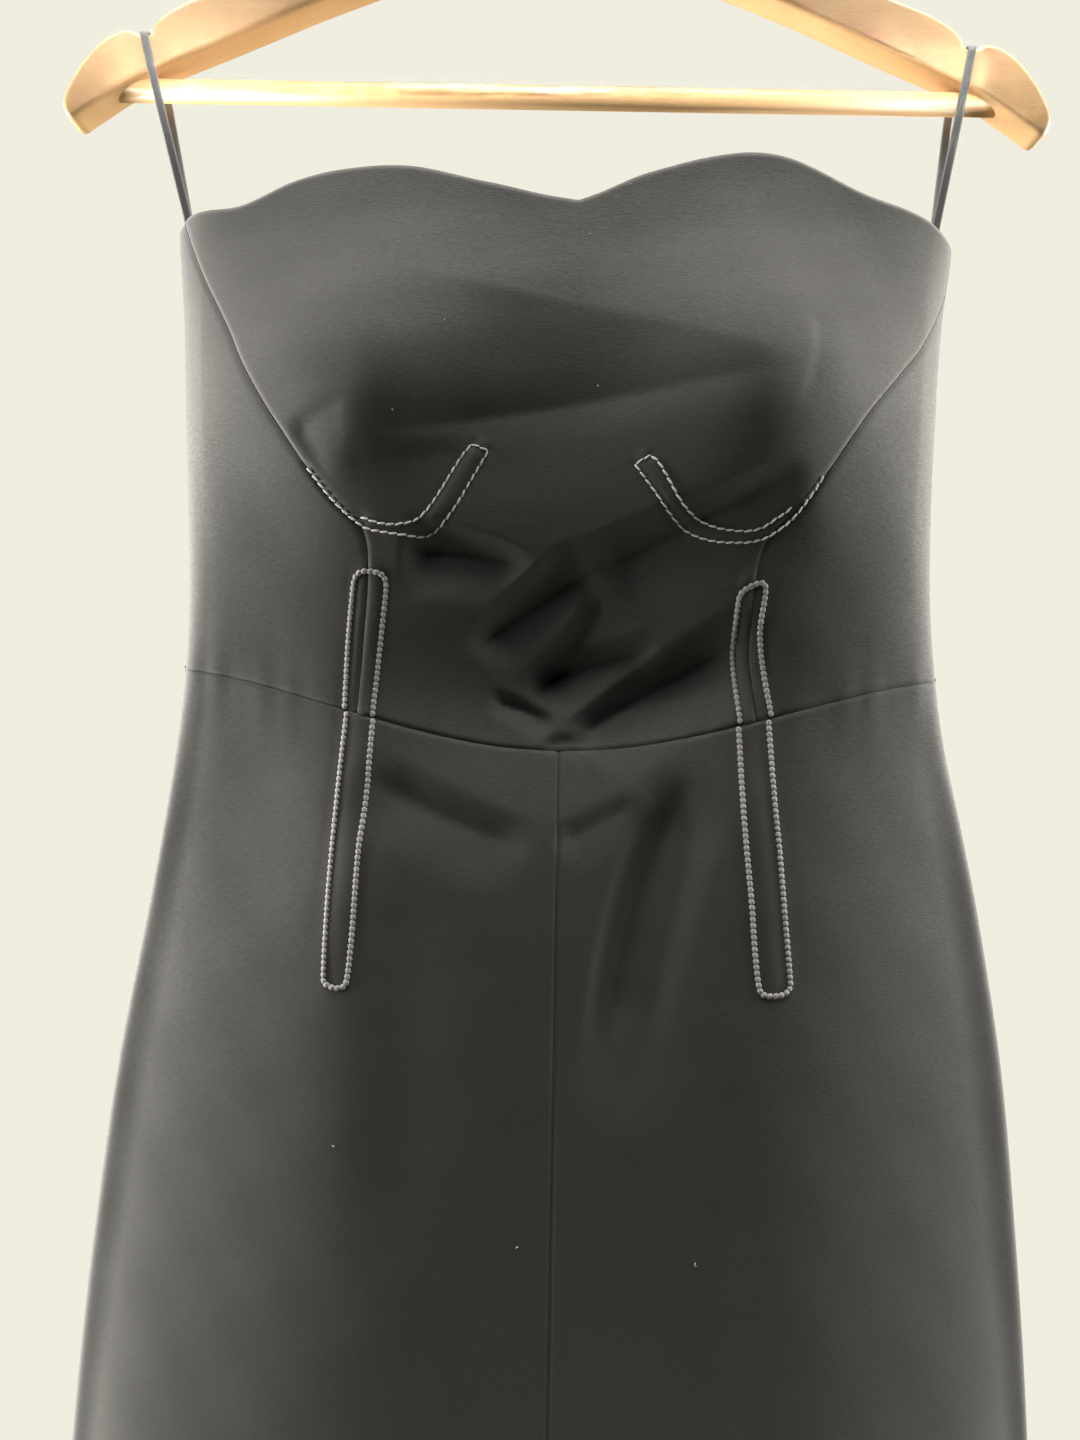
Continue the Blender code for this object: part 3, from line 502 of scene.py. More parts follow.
def curve_between(a, pull_a, b, pull_b, t):
    """A smooth curve from a to b, that leaves and arrives along its pulls."""
    return (
        a * (2 * t**3 - 3 * t**2 + 1) + pull_a * (t**3 - 2 * t**2 + t)
        + b * (3 * t**2 - 2 * t**3) + pull_b * (t**3 - t**2)
    )


def table_values(rows, key, column, at):
    """Reads a column of a table as a smooth curve through its rows."""
    keys = np.array([getattr(row, key) for row in rows], float)
    values = np.array([getattr(row, column) for row in rows], float)
    if keys[0] > keys[-1]:
        keys, values = keys[::-1], values[::-1]
    at = np.clip(at, keys[0], keys[-1])
    last = len(keys) - 1
    i = np.clip(np.searchsorted(keys, at, side="right") - 1, 0, last - 1)
    span = keys[i + 1] - keys[i]
    t = (at - keys[i]) / span
    order = np.arange(last + 1)
    before, after = np.maximum(order - 1, 0), np.minimum(order + 1, last)
    slopes = (values[after] - values[before]) / (keys[after] - keys[before])
    return curve_between(values[i], slopes[i] * span, values[i + 1], slopes[i + 1] * span, t)


def smooth_step(t):
    """Goes from 0 to 1 with soft ends."""
    t = np.clip(t, 0.0, 1.0)
    return t * t * (3 - 2 * t)


def mix(a, b, t):
    return a + (b - a) * t


def smooth_path(points, spacing):
    """Evenly spaced points along a smooth curve through the given ones."""
    points = np.array(points, float)
    if len(points) > 2:
        padded = np.vstack([2 * points[0] - points[1], points, 2 * points[-1] - points[-2]])
        t = np.linspace(0, 1, PATH_STEPS + 1)[:-1, None]
        spans = []
        for a, b, c, d in zip(padded, padded[1:], padded[2:], padded[3:]):
            spans.append(0.5 * (2 * b + (c - a) * t + (2 * a - 5 * b + 4 * c - d) * t**2
                                + (3 * b - a - 3 * c + d) * t**3))
        points = np.vstack([*spans, points[-1:]])
    steps = np.linalg.norm(np.diff(points, axis=0), axis=1)
    run = np.concatenate([[0.0], np.cumsum(steps)])
    at = np.linspace(0, run[-1], max(2, round(run[-1] / spacing) + 1))
    return np.stack([np.interp(at, run, points[:, k]) for k in range(points.shape[1])], axis=1)


# The surface of the garment

def half_width(s, z):
    left, right = (table_values(SECTIONS, "z", column, z) for column in ("left", "right"))
    return np.where(s < 0, left, right)


def across(s, z):
    """Distance from the centre line at s, from -1 at the left side seam to 1 at the right one."""
    inseam = np.where(z < CROTCH_Z, table_values(INSEAMS, "z", "out", z), 0.0)
    wide = half_width(s, z)
    return np.sign(s) * (inseam + (wide - inseam) * np.abs(s))


def side_of(x, z):
    """The s of a place across the torso."""
    return x / half_width(x, z)


def rounded(t, squareness):
    return np.sqrt(np.maximum(0.0, 1 - np.clip(t, 0.0, 1.0) ** squareness))


def roundness(s, z, squareness):
    """Share of the full depth at s: half a lens on the torso, a whole lens on each leg."""
    q = np.minimum(np.abs(s), 1.0)
    leg_form = smooth_step((LEG_FORM_START_Z - z) / (LEG_FORM_START_Z - LEG_FORM_END_Z))
    outer = mix(rounded(q, squareness), rounded(2 * q - 1, squareness), leg_form)
    widening = smooth_step((CROTCH_Z - z) / (CROTCH_Z - LEG_FORM_END_Z))
    inner_width = mix(CROTCH_TURN_WIDTH, 0.5, widening)
    turn = np.clip((CROTCH_START_Z - z) / (CROTCH_START_Z - CROTCH_Z), 0.0, 1.0)
    inner = mix(1.0, rounded(1 - q / inner_width, squareness), 1 - np.sqrt(1 - turn * turn))
    return outer * inner


def eased(rim):
    """Keeps what is laid on the cloth away from the side seams."""
    return np.minimum(1.0, rim * EDGE_EASE)


def around(line, x, z, reach):
    """The places that may lie within reach of a line."""
    low, high = line.min(axis=0) - reach, line.max(axis=0) + reach
    return (x > low[0]) & (x < high[0]) & (z > low[1]) & (z < high[1])


def line_distance(line, x, z):
    """Distance from a line of straight pieces, the share of the line passed, and the side: 1 on its left."""
    best = np.full(x.shape, np.inf)
    along, side = np.zeros(x.shape), np.zeros(x.shape)
    for i, (a, b) in enumerate(zip(line, line[1:])):
        run = b - a
        off_x, off_z = x - a[0], z - a[1]
        share = np.clip((off_x * run[0] + off_z * run[1]) / run.dot(run), 0, 1)
        far = np.hypot(off_x - share * run[0], off_z - share * run[1])
        closer = far < best
        best = np.where(closer, far, best)
        along = np.where(closer, (i + share) / (len(line) - 1), along)
        side = np.where(closer, np.sign(run[0] * off_z - run[1] * off_x), side)
    return best, along, side


def crease_depth(crease, x, z):
    """How far a crease pushes the cloth in."""
    start, middle, end = np.array(crease[:6]).reshape(3, 2)
    handle = 2 * middle - (start + end) / 2
    t = np.linspace(0, 1, CREASE_STEPS + 1)[:, None]
    line = start * (1 - t) ** 2 + 2 * handle * t * (1 - t) + end * t**2
    near = around(line, x, z, max(crease.fall0, crease.fall1) + crease.rise)
    far, along, side = line_distance(line, x[near], z[near])
    beside = side * far
    fall = mix(crease.fall0, crease.fall1, along)
    back = (1 - np.clip((beside - fall) / crease.rise, 0, 1)) ** CREASE_RETURN
    share = np.where(beside < fall, np.clip(beside, 0, None) / fall, back)
    fade = smooth_step(along / CREASE_END) * smooth_step((1 - along) / CREASE_END)
    depth = np.zeros(x.shape)
    depth[near] = crease.slope * fall * share * fade
    return depth


def trough_depth(trough, x, z):
    """How far a soft fold pushes the cloth in."""
    run = np.array((trough.x1 - trough.x0, trough.z1 - trough.z0))
    length = np.hypot(*run)
    along = ((x - trough.x0) * run[0] + (z - trough.z0) * run[1]) / length**2
    beside = (run[0] * (z - trough.z0) - run[1] * (x - trough.x0)) / length
    fade = smooth_step(along / TROUGH_END) * smooth_step((1 - along) / TROUGH_END)
    return trough.deep * np.exp(-((beside / trough.wide) ** 2)) * fade


def waves(rows, x, z):
    """A sum of sine waves."""
    total = np.zeros(np.shape(x))
    for row in rows:
        turn = math.radians(row.turn)
        run = x * math.cos(turn) + z * math.sin(turn)
        total += row.high * np.sin(2 * np.pi * run / row.length + row.phase)
    return total


def nearness(points, x, z, reach):
    """Distance from a line through points, no more than reach."""
    path = smooth_path(points, NEARNESS_SPACING)
    best = np.full(np.shape(x), float(reach))
    near = around(path, x, z, reach)
    best[near] = np.minimum(reach, line_distance(path, x[near], z[near])[0])
    return best


def front_waist_z(s):
    return table_values(WAIST_EDGE, "across", "z", np.abs(s) * WAIST_EDGE[-1].across)


def back_waist_z(s):
    return mix(WAIST_BACK_Z, WAIST_SIDE_Z, np.abs(s) ** BACK_EDGE_CURVE)


def top_edge_z(s):
    """Height of the front's top edge, with its small sharp dip in the middle."""
    wide = np.where(s > 0, TOP_EDGE[-1].across, -TOP_EDGE[0].across)
    smooth = table_values(TOP_EDGE, "across", "z", s * wide)
    return smooth - TOP_DIP * np.exp(-np.abs(s * wide - TOP_DIP_ACROSS) / TOP_DIP_WIDE)


def back_top_z(s):
    return mix(BACK_TOP_Z, CORNER_Z, np.abs(s) ** BACK_EDGE_CURVE)


def front_depth(s, z):
    """How far the outside of the front lies before the side seams."""
    x = across(s, z)
    rim = roundness(s, z, FRONT_SQUARENESS)
    ease = eased(rim)
    slack = smooth_step((SLACK_START_Z - z) / (SLACK_START_Z - SLACK_FULL_Z))
    slack *= smooth_step(rim / SLACK_EDGE)
    depth = table_values(SECTIONS, "z", "front", z) * mix(rim, rim**SLACK_FALL, slack)
    for swell in SWELLS:
        bulge = np.exp(-(((x - swell.across) / swell.wide) ** 2) - ((z - swell.z) / swell.tall) ** 2)
        depth += swell.push * bulge * ease
    for crease in FRONT_CREASES:
        depth -= crease_depth(crease, x, z) * ease
    for trough in FRONT_TROUGHS:
        depth -= trough_depth(trough, x, z) * ease
    for line in STITCH_LINES:
        near = nearness(line.points, x, z, GROOVE_REACH)
        depth -= GROOVE_DEEP * np.exp(-((near / GROOVE_WIDE) ** 2)) * ease
    for casing in CASINGS:
        share = nearness(casing.points, x, z, 2 * casing.half) / casing.half
        depth += casing.high * smooth_step((CASING_FOOT - share) / (CASING_FOOT - CASING_FLAT)) * ease
    return depth + (waves(WAVES, x, z) + pucker(x, z - front_waist_z(s))) * ease


def pucker(x, off):
    """Small ripples across a seam, that fade away from it."""
    return waves(PUCKERS, x, off) * np.exp(-np.abs(off) / PUCKER_FADE)


def back_depth(s, z):
    """How far the outside of the back lies behind the side seams."""
    x = across(s, z)
    rim = roundness(s, z, BACK_SQUARENESS)
    ease = eased(rim)
    depth = table_values(SECTIONS, "z", "back", z) * rim
    for trough in BACK_TROUGHS:
        depth -= trough_depth(trough, x, z) * ease
    uneven = waves(WAVES, x + BACK_WAVE_SHIFT, z) + pucker(x + BACK_PUCKER_SHIFT, z - back_waist_z(s))
    return depth + uneven * ease


def bodice_z(s, v):
    return mix(front_waist_z(s), top_edge_z(s), v)


def bust_seam_s(side, v):
    """The s of the curved bust seam at v, found by halving the range of heights."""
    column = "left" if side < 0 else "right"
    rows, back = np.unique(v, return_inverse=True)
    low = np.full(rows.shape, BUST_SEAM[-1].z - SEAM_SEARCH_MARGIN)
    high = np.full(rows.shape, BUST_SEAM[0].z + SEAM_SEARCH_MARGIN)
    for _ in range(SEAM_SEARCH_STEPS):
        z = (low + high) / 2
        s = side * table_values(BUST_SEAM, "z", column, z) / half_width(np.full(z.shape, side), z)
        above = bodice_z(s, rows) > z
        low = np.where(above, z, low)
        high = np.where(above, high, z)
    return s[back].reshape(np.shape(v))


# Materials

def new_group(name, inputs, rough=True):
    """A shader node group with a place and named inputs, that puts out colour, roughness and height."""
    group = bpy.data.node_groups.new(name, "ShaderNodeTree")
    group.interface.new_socket("Place", in_out="INPUT", socket_type="NodeSocketVector")
    for label, value in inputs.items():
        kind = "NodeSocketColor" if isinstance(value, tuple) else "NodeSocketFloat"
        socket = group.interface.new_socket(label, in_out="INPUT", socket_type=kind)
        socket.default_value = value
    group.interface.new_socket("Color", in_out="OUTPUT", socket_type="NodeSocketColor")
    for label in ("Roughness", "Height") if rough else ("Height",):
        group.interface.new_socket(label, in_out="OUTPUT", socket_type="NodeSocketFloat")
    return Wiring(group), group.nodes.new("NodeGroupInput").outputs


class Wiring:
    """Adds nodes to a tree and links them in one call."""

    def __init__(self, tree):
        self.tree = tree

    def node(self, kind, settings=None, **sockets):
        node = self.tree.nodes.new(kind)
        for key, value in (settings or {}).items():
            setattr(node, key, value)
        for key, value in sockets.items():
            name = key.replace("_", " ")
            target = node.inputs[int(name[1:])] if name[1:].isdigit() else node.inputs[name]
            if isinstance(value, bpy.types.NodeSocket):
                self.tree.links.new(value, target)
            else:
                target.default_value = value
        return node

    def math(self, operation, a, b=0.0, clamp=False):
        settings = {"operation": operation, "use_clamp": clamp}
        return self.node("ShaderNodeMath", settings, i0=a, i1=b).outputs[0]

    def weighted(self, a, share_a, b, share_b):
        return self.math("ADD", self.math("MULTIPLY", a, share_a), self.math("MULTIPLY", b, share_b))

    def scaled(self, vector, x, y, z):
        return self.node(
            "ShaderNodeVectorMath", {"operation": "MULTIPLY"}, i0=vector, i1=(x, y, z)
        ).outputs[0]

    def noise(self, vector, scale, detail=2.0, roughness=0.5):
        return self.node(
            "ShaderNodeTexNoise", Vector=vector, Scale=scale, Detail=detail, Roughness=roughness
        ).outputs[0]

    def ramp(self, value, to_low=0.0, to_high=1.0, low=NOISE_LOW, high=NOISE_HIGH):
        return self.node(
            "ShaderNodeMapRange", Value=value, From_Min=low, From_Max=high, To_Min=to_low, To_Max=to_high
        ).outputs[0]

    def blend(self, share, a, b):
        return self.node("ShaderNodeMix", {"data_type": "RGBA"}, i0=share, i6=a, i7=b).outputs[2]

    def put_out(self, **values):
        """Links what a group puts out, and gives the group."""
        self.node("NodeGroupOutput", **values)
        return self.tree


def crepe_group():
    """Fine crepe: short horizontal slubs, a grain of threads and soft cloudy shading."""
    wire, given = new_group(
        "crepe_weave", {"Dark": (0.0034, 0.0033, 0.0030, 1), "Light": (0.0092, 0.0089, 0.0080, 1)}
    )
    place = given["Place"]
    slub = wire.noise(wire.scaled(place, 330, 330, 1500), 1.0, 3.0, 0.6)
    grain = wire.noise(wire.scaled(place, 1500, 1500, 1900), 1.0, 2.0, 0.6)
    cloud = wire.noise(place, 22.0, 3.0, 0.55)
    weave = wire.weighted(slub, 0.6, grain, 0.4)
    shade = wire.weighted(wire.ramp(weave), 0.75, cloud, 0.25)
    colour = wire.blend(shade, given["Dark"], given["Light"])
    return wire.put_out(Color=colour, Roughness=wire.ramp(weave, 0.88, 0.72), Height=weave)


def wood_group():
    """Long grain with pores and a few darker streaks, running along the first axis of its coordinates."""
    wire, given = new_group(
        "beech_grain", {"Pale": (0.86, 0.575, 0.305, 1), "Deep": (0.69, 0.41, 0.186, 1)}
    )
    place = given["Place"]
    band = wire.noise(wire.scaled(place, 6, 60, 60), 1.0, 4.0, 0.6)
    fine = wire.noise(wire.scaled(place, 40, 600, 600), 1.0, 3.0, 0.6)
    pore = wire.noise(wire.scaled(place, 160, 1500, 1500), 1.0, 1.0, 0.5)
    dash = wire.ramp(pore, low=0.62, high=0.75)
    share = wire.weighted(wire.ramp(band), 0.6, fine, 0.4)
    share = wire.math("ADD", share, wire.math("MULTIPLY", dash, 0.35), clamp=True)
    colour = wire.blend(share, given["Pale"], given["Deep"])
    height = wire.math("SUBTRACT", fine, dash)
    return wire.put_out(Color=colour, Roughness=wire.ramp(fine, 0.34, 0.46), Height=height)


def thread_group():
    """Twisted thread or ribbed ribbon: fine ridges of a given count to the millimetre, with painted shade
    that darkens the colour in the grooves between them.
    """
    wire, given = new_group("twisted_thread", {"Ridges": 1.6, "Color": (0.7, 0.7, 0.7, 1)}, rough=False)
    parts = wire.node("ShaderNodeSeparateXYZ", Vector=given["Place"]).outputs
    lean = wire.math("ADD", parts["Z"], wire.math("MULTIPLY", parts["X"], 0.5))
    turns = wire.math("MULTIPLY", wire.math("MULTIPLY", lean, given["Ridges"]), 2 * math.pi / MM)
    ridge = wire.math("SINE", turns)
    fuzz = wire.noise(given["Place"], 900.0, 2.0, 0.6)
    height = wire.math("ADD", wire.math("MULTIPLY", ridge, 0.5), fuzz)
    # Painted shade: the colour is dimmed where the ridges are low, in the grooves between them.
    painted_groove_shade = wire.node("ShaderNodeHueSaturation", Color=given["Color"], Value=0.62).outputs[0]
    colour = wire.blend(wire.ramp(height, low=0.0, high=1.0), painted_groove_shade, given["Color"])
    return wire.put_out(Color=colour, Height=height)


def metal_group():
    """Drawn metal with faint scratches along its length."""
    wire, given = new_group("drawn_metal", {"Color": (0.7, 0.7, 0.7, 1)})
    scratch = wire.noise(wire.scaled(given["Place"], 300, 2500, 2500), 1.0, 3.0, 0.6)
    dull = wire.noise(given["Place"], 60.0, 3.0, 0.6)
    dark = wire.node("ShaderNodeHueSaturation", Color=given["Color"], Value=0.8).outputs[0]
    colour = wire.blend(dull, dark, given["Color"])
    return wire.put_out(Color=colour, Roughness=wire.ramp(dull, 0.2, 0.38), Height=scratch)


def make_material(name, group, settings=None, bump=0.1, bump_size=0.0003, **values):
    """A Principled material fed by a node group in Object coordinates."""
    material = bpy.data.materials.new(name)
    material.use_nodes = True
    tree = material.node_tree
    shader = tree.nodes["Principled BSDF"]
    wire = Wiring(tree)
    place = wire.node("ShaderNodeTexCoord").outputs["Object"]
    look = wire.node("ShaderNodeGroup", {"node_tree": group})
    tree.links.new(place, look.inputs["Place"])
    for key, value in values.items():
        look.inputs[key].default_value = value
    tree.links.new(look.outputs["Color"], shader.inputs["Base Color"])
    if "Roughness" in look.outputs:
        tree.links.new(look.outputs["Roughness"], shader.inputs["Roughness"])
    relief = wire.node("ShaderNodeBump", Strength=bump, Distance=bump_size, Height=look.outputs["Height"])
    tree.links.new(relief.outputs[0], shader.inputs["Normal"])
    for key, value in (settings or {}).items():
        shader.inputs[key].default_value = value
    return material


# Meshes

def finish_piece(obj, material, body, replaced=()):
    """Gives a piece its material and body, shades it smooth and hides the CAD parts it replaces."""
    obj.data.materials.append(material)
    obj.data.shade_smooth()
    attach(obj, body)
    if replaced:
        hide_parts(*replaced)


def link_object(name, data):
    obj = bpy.data.objects.new(name, data)
    bpy.context.scene.collection.objects.link(obj)
    return obj


def add_object(name, bm):
    mesh = bpy.data.meshes.new(name)
    bm.to_mesh(mesh)
    bm.free()
    return link_object(name, mesh)


def add_wall(obj, thickness, offset):
    wall = obj.modifiers.new("Wall", "SOLIDIFY")
    wall.thickness = thickness * MM
    wall.offset = offset
    return obj


def crowded(length, cell, near):
    """Shares from 0 to 1 along a length, with cells of cell inside and narrow ones at both ends."""
    ends = np.cumsum([0.0, *(near * size for size in EDGE_CELLS)])
    inner = length - 2 * ends[-1]
    count = max(2, round(inner / cell))
    middle = np.linspace(ends[-1], length - ends[-1], count + 1)
    return np.concatenate([ends[:-1], middle, length - ends[:-1][::-1]]) / length


def cloth_shell(name, grid, place):
    """A grid moved onto the garment by place(u, v), which gives arrays of x, y and z, with a wall inside."""
    us = crowded(grid.wide, grid.cell_wide, grid.edge)
    vs = crowded(grid.long, grid.cell_long, grid.edge)
    bm = bmesh.new()
    bmesh.ops.create_grid(bm, x_segments=len(us) - 1, y_segments=len(vs) - 1, size=0.5)
    obj = add_object(name, bm)
    count = len(obj.data.vertices)
    flat = np.empty(count * 3)
    obj.data.vertices.foreach_get("co", flat)
    flat = flat.reshape(-1, 3)
    column = np.rint((flat[:, 0] + 0.5) * (len(us) - 1)).astype(int)
    row = np.rint((flat[:, 1] + 0.5) * (len(vs) - 1)).astype(int)
    spots = np.stack(place(us[column], vs[row]), axis=1) * MM
    obj.data.vertices.foreach_set("co", spots.ravel())
    obj.data.update()
    return add_wall(obj, WALL, -1)


def rolled(far, roll):
    """How far a sewn edge turns in, far millimetres from the seam."""
    return roll.deep * np.exp(-((far / roll.wide) ** 2))


def bodice_rolled(v, tall):
    """How far the waist edge and the top edge of a bodice panel turn in."""
    return rolled(v * tall, BODICE_WAIST_ROLL) + rolled((1 - v) * tall, TOP_ROLL)


def bust_place(u, v):
    left, right = bust_seam_s(-1, v), bust_seam_s(1, v)
    z = bodice_z(mix(left, right, u), v)
    slit = SEAM_SLIT / half_width(np.ones_like(z), z)
    s = mix(left + slit, right - slit, u)
    z = bodice_z(s, v)
    wide = (right - left) * half_width(s, z)
    tall = top_edge_z(s) - front_waist_z(s)
    ease = eased(roundness(s, z, FRONT_SQUARENESS))
    out = PROUD - rolled(np.minimum(u, 1 - u) * wide, BUST_SEAM_ROLL) - bodice_rolled(v, tall)
    return CENTRE_X + across(s, z), -front_depth(s, z) - out * ease, z


def side_front_place(side):
    def place(u, v):
        seam = bust_seam_s(side, v)
        slit = SEAM_SLIT / half_width(np.full_like(v, side), np.full_like(v, CORNER_Z))
        inner = np.arcsin(np.minimum(1.0, (np.abs(seam) + slit) ** (FRONT_SQUARENESS / 2)))
        toward = u if side < 0 else 1 - u
        s = side * np.sin(mix(np.pi / 2, inner, toward)) ** (2 / FRONT_SQUARENESS)
        z = bodice_z(s, v)
        wide = (1 - np.abs(seam)) * half_width(s, z)
        tall = top_edge_z(s) - front_waist_z(s)
        inward = rolled((1 - toward) * wide, SIDE_FRONT_ROLL) + bodice_rolled(v, tall)
        ease = eased(roundness(s, z, FRONT_SQUARENESS))
        return CENTRE_X + across(s, z), -front_depth(s, z) + inward * ease - SEAM_SLIT / 2, z

    return place


def bodice_back_place(side):
    def place(u, v):
        toward = u if side > 0 else 1 - u
        s = side * np.sin(mix(np.pi / 2, 0.0, toward))
        s = np.where(np.abs(s) < NEAR_CENTRE, side * NEAR_CENTRE, s)
        z = mix(back_waist_z(s), back_top_z(s), v)
        x = across(s, z)
        tall = back_top_z(s) - back_waist_z(s)
        out = zip_lip(x) - rolled(np.abs(x), BODICE_CENTRE_ROLL) - bodice_rolled(v, tall)
        y = back_depth(s, z) + out * eased(roundness(s, z, BACK_SQUARENESS)) + SEAM_SLIT / 2
        return CENTRE_X + x + side * SEAM_SLIT / 2 * toward, y, z

    return place


def zip_lip(x):
    """The flat fold that covers the zip's teeth."""
    return ZIP_LIP_HIGH * smooth_step((ZIP_LIP - np.abs(x)) / ZIP_LIP_EDGE)


def trouser_place(side, front):
    squareness = FRONT_SQUARENESS if front else BACK_SQUARENESS

    def place(u, v):
        toward = u if (side > 0) == front else 1 - u
        angle = np.pi * (toward - 0.5)
        q = 0.5 + 0.5 * np.sign(angle) * np.abs(np.sin(angle)) ** (2 / FRONT_SQUARENESS)
        s = side * np.maximum(q, NEAR_CENTRE)
        waist = front_waist_z(s) if front else back_waist_z(s)
        height = mix(HEM_Z, WAIST_SIDE_Z, v)
        below = (WAIST_SIDE_Z - height) / WAIST_EVEN_HEIGHT
        z = height + (waist - WAIST_SIDE_Z) * np.maximum(0.0, 1 - below) ** WAIST_EVEN_CURVE
        x = across(s, z)
        torso = smooth_step((z - CROTCH_Z + CENTRE_SEAM_END) / CENTRE_SEAM_FADE)
        out = HEM_THICKER * smooth_step((HEM_Z + HEM_HEIGHT - z) / HEM_STEP) - rolled(z - HEM_Z, HEM_ROLL)
        out -= rolled(waist - z, TROUSER_SEAM_ROLL) + rolled(np.abs(x), TROUSER_SEAM_ROLL) * torso
        if not front:
            out += zip_lip(x) * smooth_step((z - ZIP_END_Z) / ZIP_LIP_FADE)
        depth = front_depth(s, z) if front else back_depth(s, z)
        y = depth + out * eased(roundness(s, z, squareness)) + SEAM_SLIT / 2
        return CENTRE_X + x + side * SEAM_SLIT / 2 * (1 - q), -y if front else y, z

    return place


def surface_points(x, z):
    """Points on the outside of the front at x and z, and their outward normals."""
    places = ((x, z), (x + NORMAL_STEP, z), (x, z + NORMAL_STEP))
    y, y_right, y_up = (-front_depth(side_of(a, b), b) for a, b in places)
    normals = np.stack([y_right - y, np.full(x.shape, -NORMAL_STEP), y_up - y], axis=1)
    normals /= np.linalg.norm(normals, axis=1)[:, None]
    return np.stack([CENTRE_X + x, y, z], axis=1), normals


def add_stitches(bm, line):
    """Lays single stitches along a line, each a spindle that leans a little off the line."""
    thread = THREADS[line.kind]
    path = smooth_path(line.points, STITCH_PATH_SPACING)
    steps = np.linalg.norm(np.diff(path, axis=0), axis=1)
    run = np.concatenate([[0.0], np.cumsum(steps)])
    pitch = thread.length + thread.gap
    count = max(1, round((run[-1] + thread.gap) / pitch))
    pitch = (run[-1] + thread.gap) / count
    at = np.arange(count)[:, None] * pitch + np.array([0.0, pitch - thread.gap])
    spots, normals = surface_points(*(np.interp(at.ravel(), run, path[:, k]) for k in (0, 1)))
    ends = (spots + normals * (thread.lift + PROUD)).reshape(count, 2, 3)
    lie_down = Matrix.Rotation(math.pi / 2, 3, "Y")
    for (start, end), normal in zip(ends, normals[::2]):
        start, end, normal = Vector(start), Vector(end), Vector(normal)
        middle = (start + end) / 2
        forward = (end - start).normalized()
        sideways = normal.cross(forward).normalized()
        turn = Matrix.Rotation(math.radians(thread.slant), 3, normal)
        half_long = (end - start).length / 2 + STITCH_OVERLAP
        axes = (turn @ forward * half_long, turn @ sideways * thread.half_wide, normal * thread.half_high)
        shape = Matrix(axes).transposed()
        for vert in new_ball(bm, STITCH_SIDES):
            place = lie_down @ vert.co
            place.x = math.copysign(abs(place.x) ** STITCH_TAPER, place.x)
            vert.co = (shape @ place + middle) * MM


def new_ball(bm, sides):
    """The corners of a new ball of radius 1 with few faces."""
    return bmesh.ops.create_uvsphere(bm, u_segments=sides, v_segments=sides - 2, radius=1.0)["verts"]


def add_bead(bm, centre, axes, half, sides=8):
    """A rounded bead with the given half sizes along three axes."""
    shape = Matrix([Vector(axis) * size for axis, size in zip(axes, half)]).transposed()
    for vert in new_ball(bm, sides):
        vert.co = (shape @ vert.co + Vector(centre)) * MM


def build_lint():
    """Bits of lint, each a little crooked bead lying on the cloth."""
    bm = bmesh.new()
    spots, normals = surface_points(*(np.array([fleck[k] for fleck in LINT]) for k in (0, 1)))
    for fleck, spot, normal in zip(LINT, spots, normals):
        normal = Vector(normal)
        level = normal.cross(Vector((0, 0, 1))).normalized()
        along = Matrix.Rotation(math.radians(fleck.turn), 3, normal) @ level
        beside = normal.cross(along)
        half = (fleck.long / 2, LINT_WIDE / 2, LINT_HIGH)
        middle = Vector(spot) + normal * LINT_HIGH
        add_bead(bm, middle, (along, beside, normal), half)
        end = middle + (along * LINT_END_PLACE[0] + beside * LINT_END_PLACE[1]) * half[0]
        end_half = [size * share for size, share in zip(half, LINT_END_SIZE)]
        add_bead(bm, end, (beside, along, normal), end_half, 6)
    return add_object("lint_flecks", bm)


def build_teeth():
    """The zip's coil, in the groove between its two lips."""
    bm = bmesh.new()
    heights = np.arange(ZIP_TEETH_TOP_Z, ZIP_END_Z, -TOOTH_PITCH)
    depths = back_depth(np.full(heights.shape, NEAR_CENTRE), heights)
    for i, (z, y) in enumerate(zip(heights, depths)):
        lean = math.radians(TOOTH_LEAN if i % 2 else -TOOTH_LEAN)
        along = (math.cos(lean), 0, math.sin(lean))
        up = (-math.sin(lean), 0, math.cos(lean))
        add_bead(bm, (CENTRE_X, y - TOOTH_SINK, z), (along, (0, 1, 0), up), TOOTH_HALF, TOOTH_SIDES)
    return add_object("zip_coil", bm)


def build_waist_rolls():
    """The small rolls of cloth at both side ends of the waist seam."""
    bm = bmesh.new()
    axes = Matrix.Identity(3)
    for side in (-1, 1):
        wide = half_width(np.array([side]), np.array([WAIST_SIDE_Z]))[0]
        x = CENTRE_X + side * (wide - WAIST_ROLL_INSET)
        for roll in WAIST_ROLLS:
            half = [value * roll.size for value in WAIST_ROLL_HALF]
            add_bead(bm, (x, 0, WAIST_SIDE_Z + roll.lift), axes, half, WAIST_ROLL_SIDES)
    return add_object("waist_seam_rolls", bm)


def rod(name, radius, length, centre, sides):
    """A cylinder along X."""
    bm = bmesh.new()
    bmesh.ops.create_cone(
        bm, cap_ends=True, segments=sides, radius1=radius * MM, radius2=radius * MM, depth=length * MM
    )
    bmesh.ops.rotate(bm, verts=bm.verts, matrix=Matrix.Rotation(math.pi / 2, 3, "Y"))
    bmesh.ops.translate(bm, verts=bm.verts, vec=Vector(centre) * MM)
    return add_object(name, bm)


def merge_doubles(bm):
    """Merges corners that lie together and turns the faces outwards."""
    bmesh.ops.remove_doubles(bm, verts=bm.verts, dist=MERGE)
    bmesh.ops.recalc_face_normals(bm, faces=bm.faces)


def add_line(curve, points, closed=False):
    """Adds a line of straight pieces through points, given in millimetres."""
    spline = curve.splines.new("POLY")
    spline.points.add(len(points) - 1)
    for target, point in zip(spline.points, points):
        target.co = (*(Vector(point) * MM), 1)
    spline.use_cyclic_u = closed


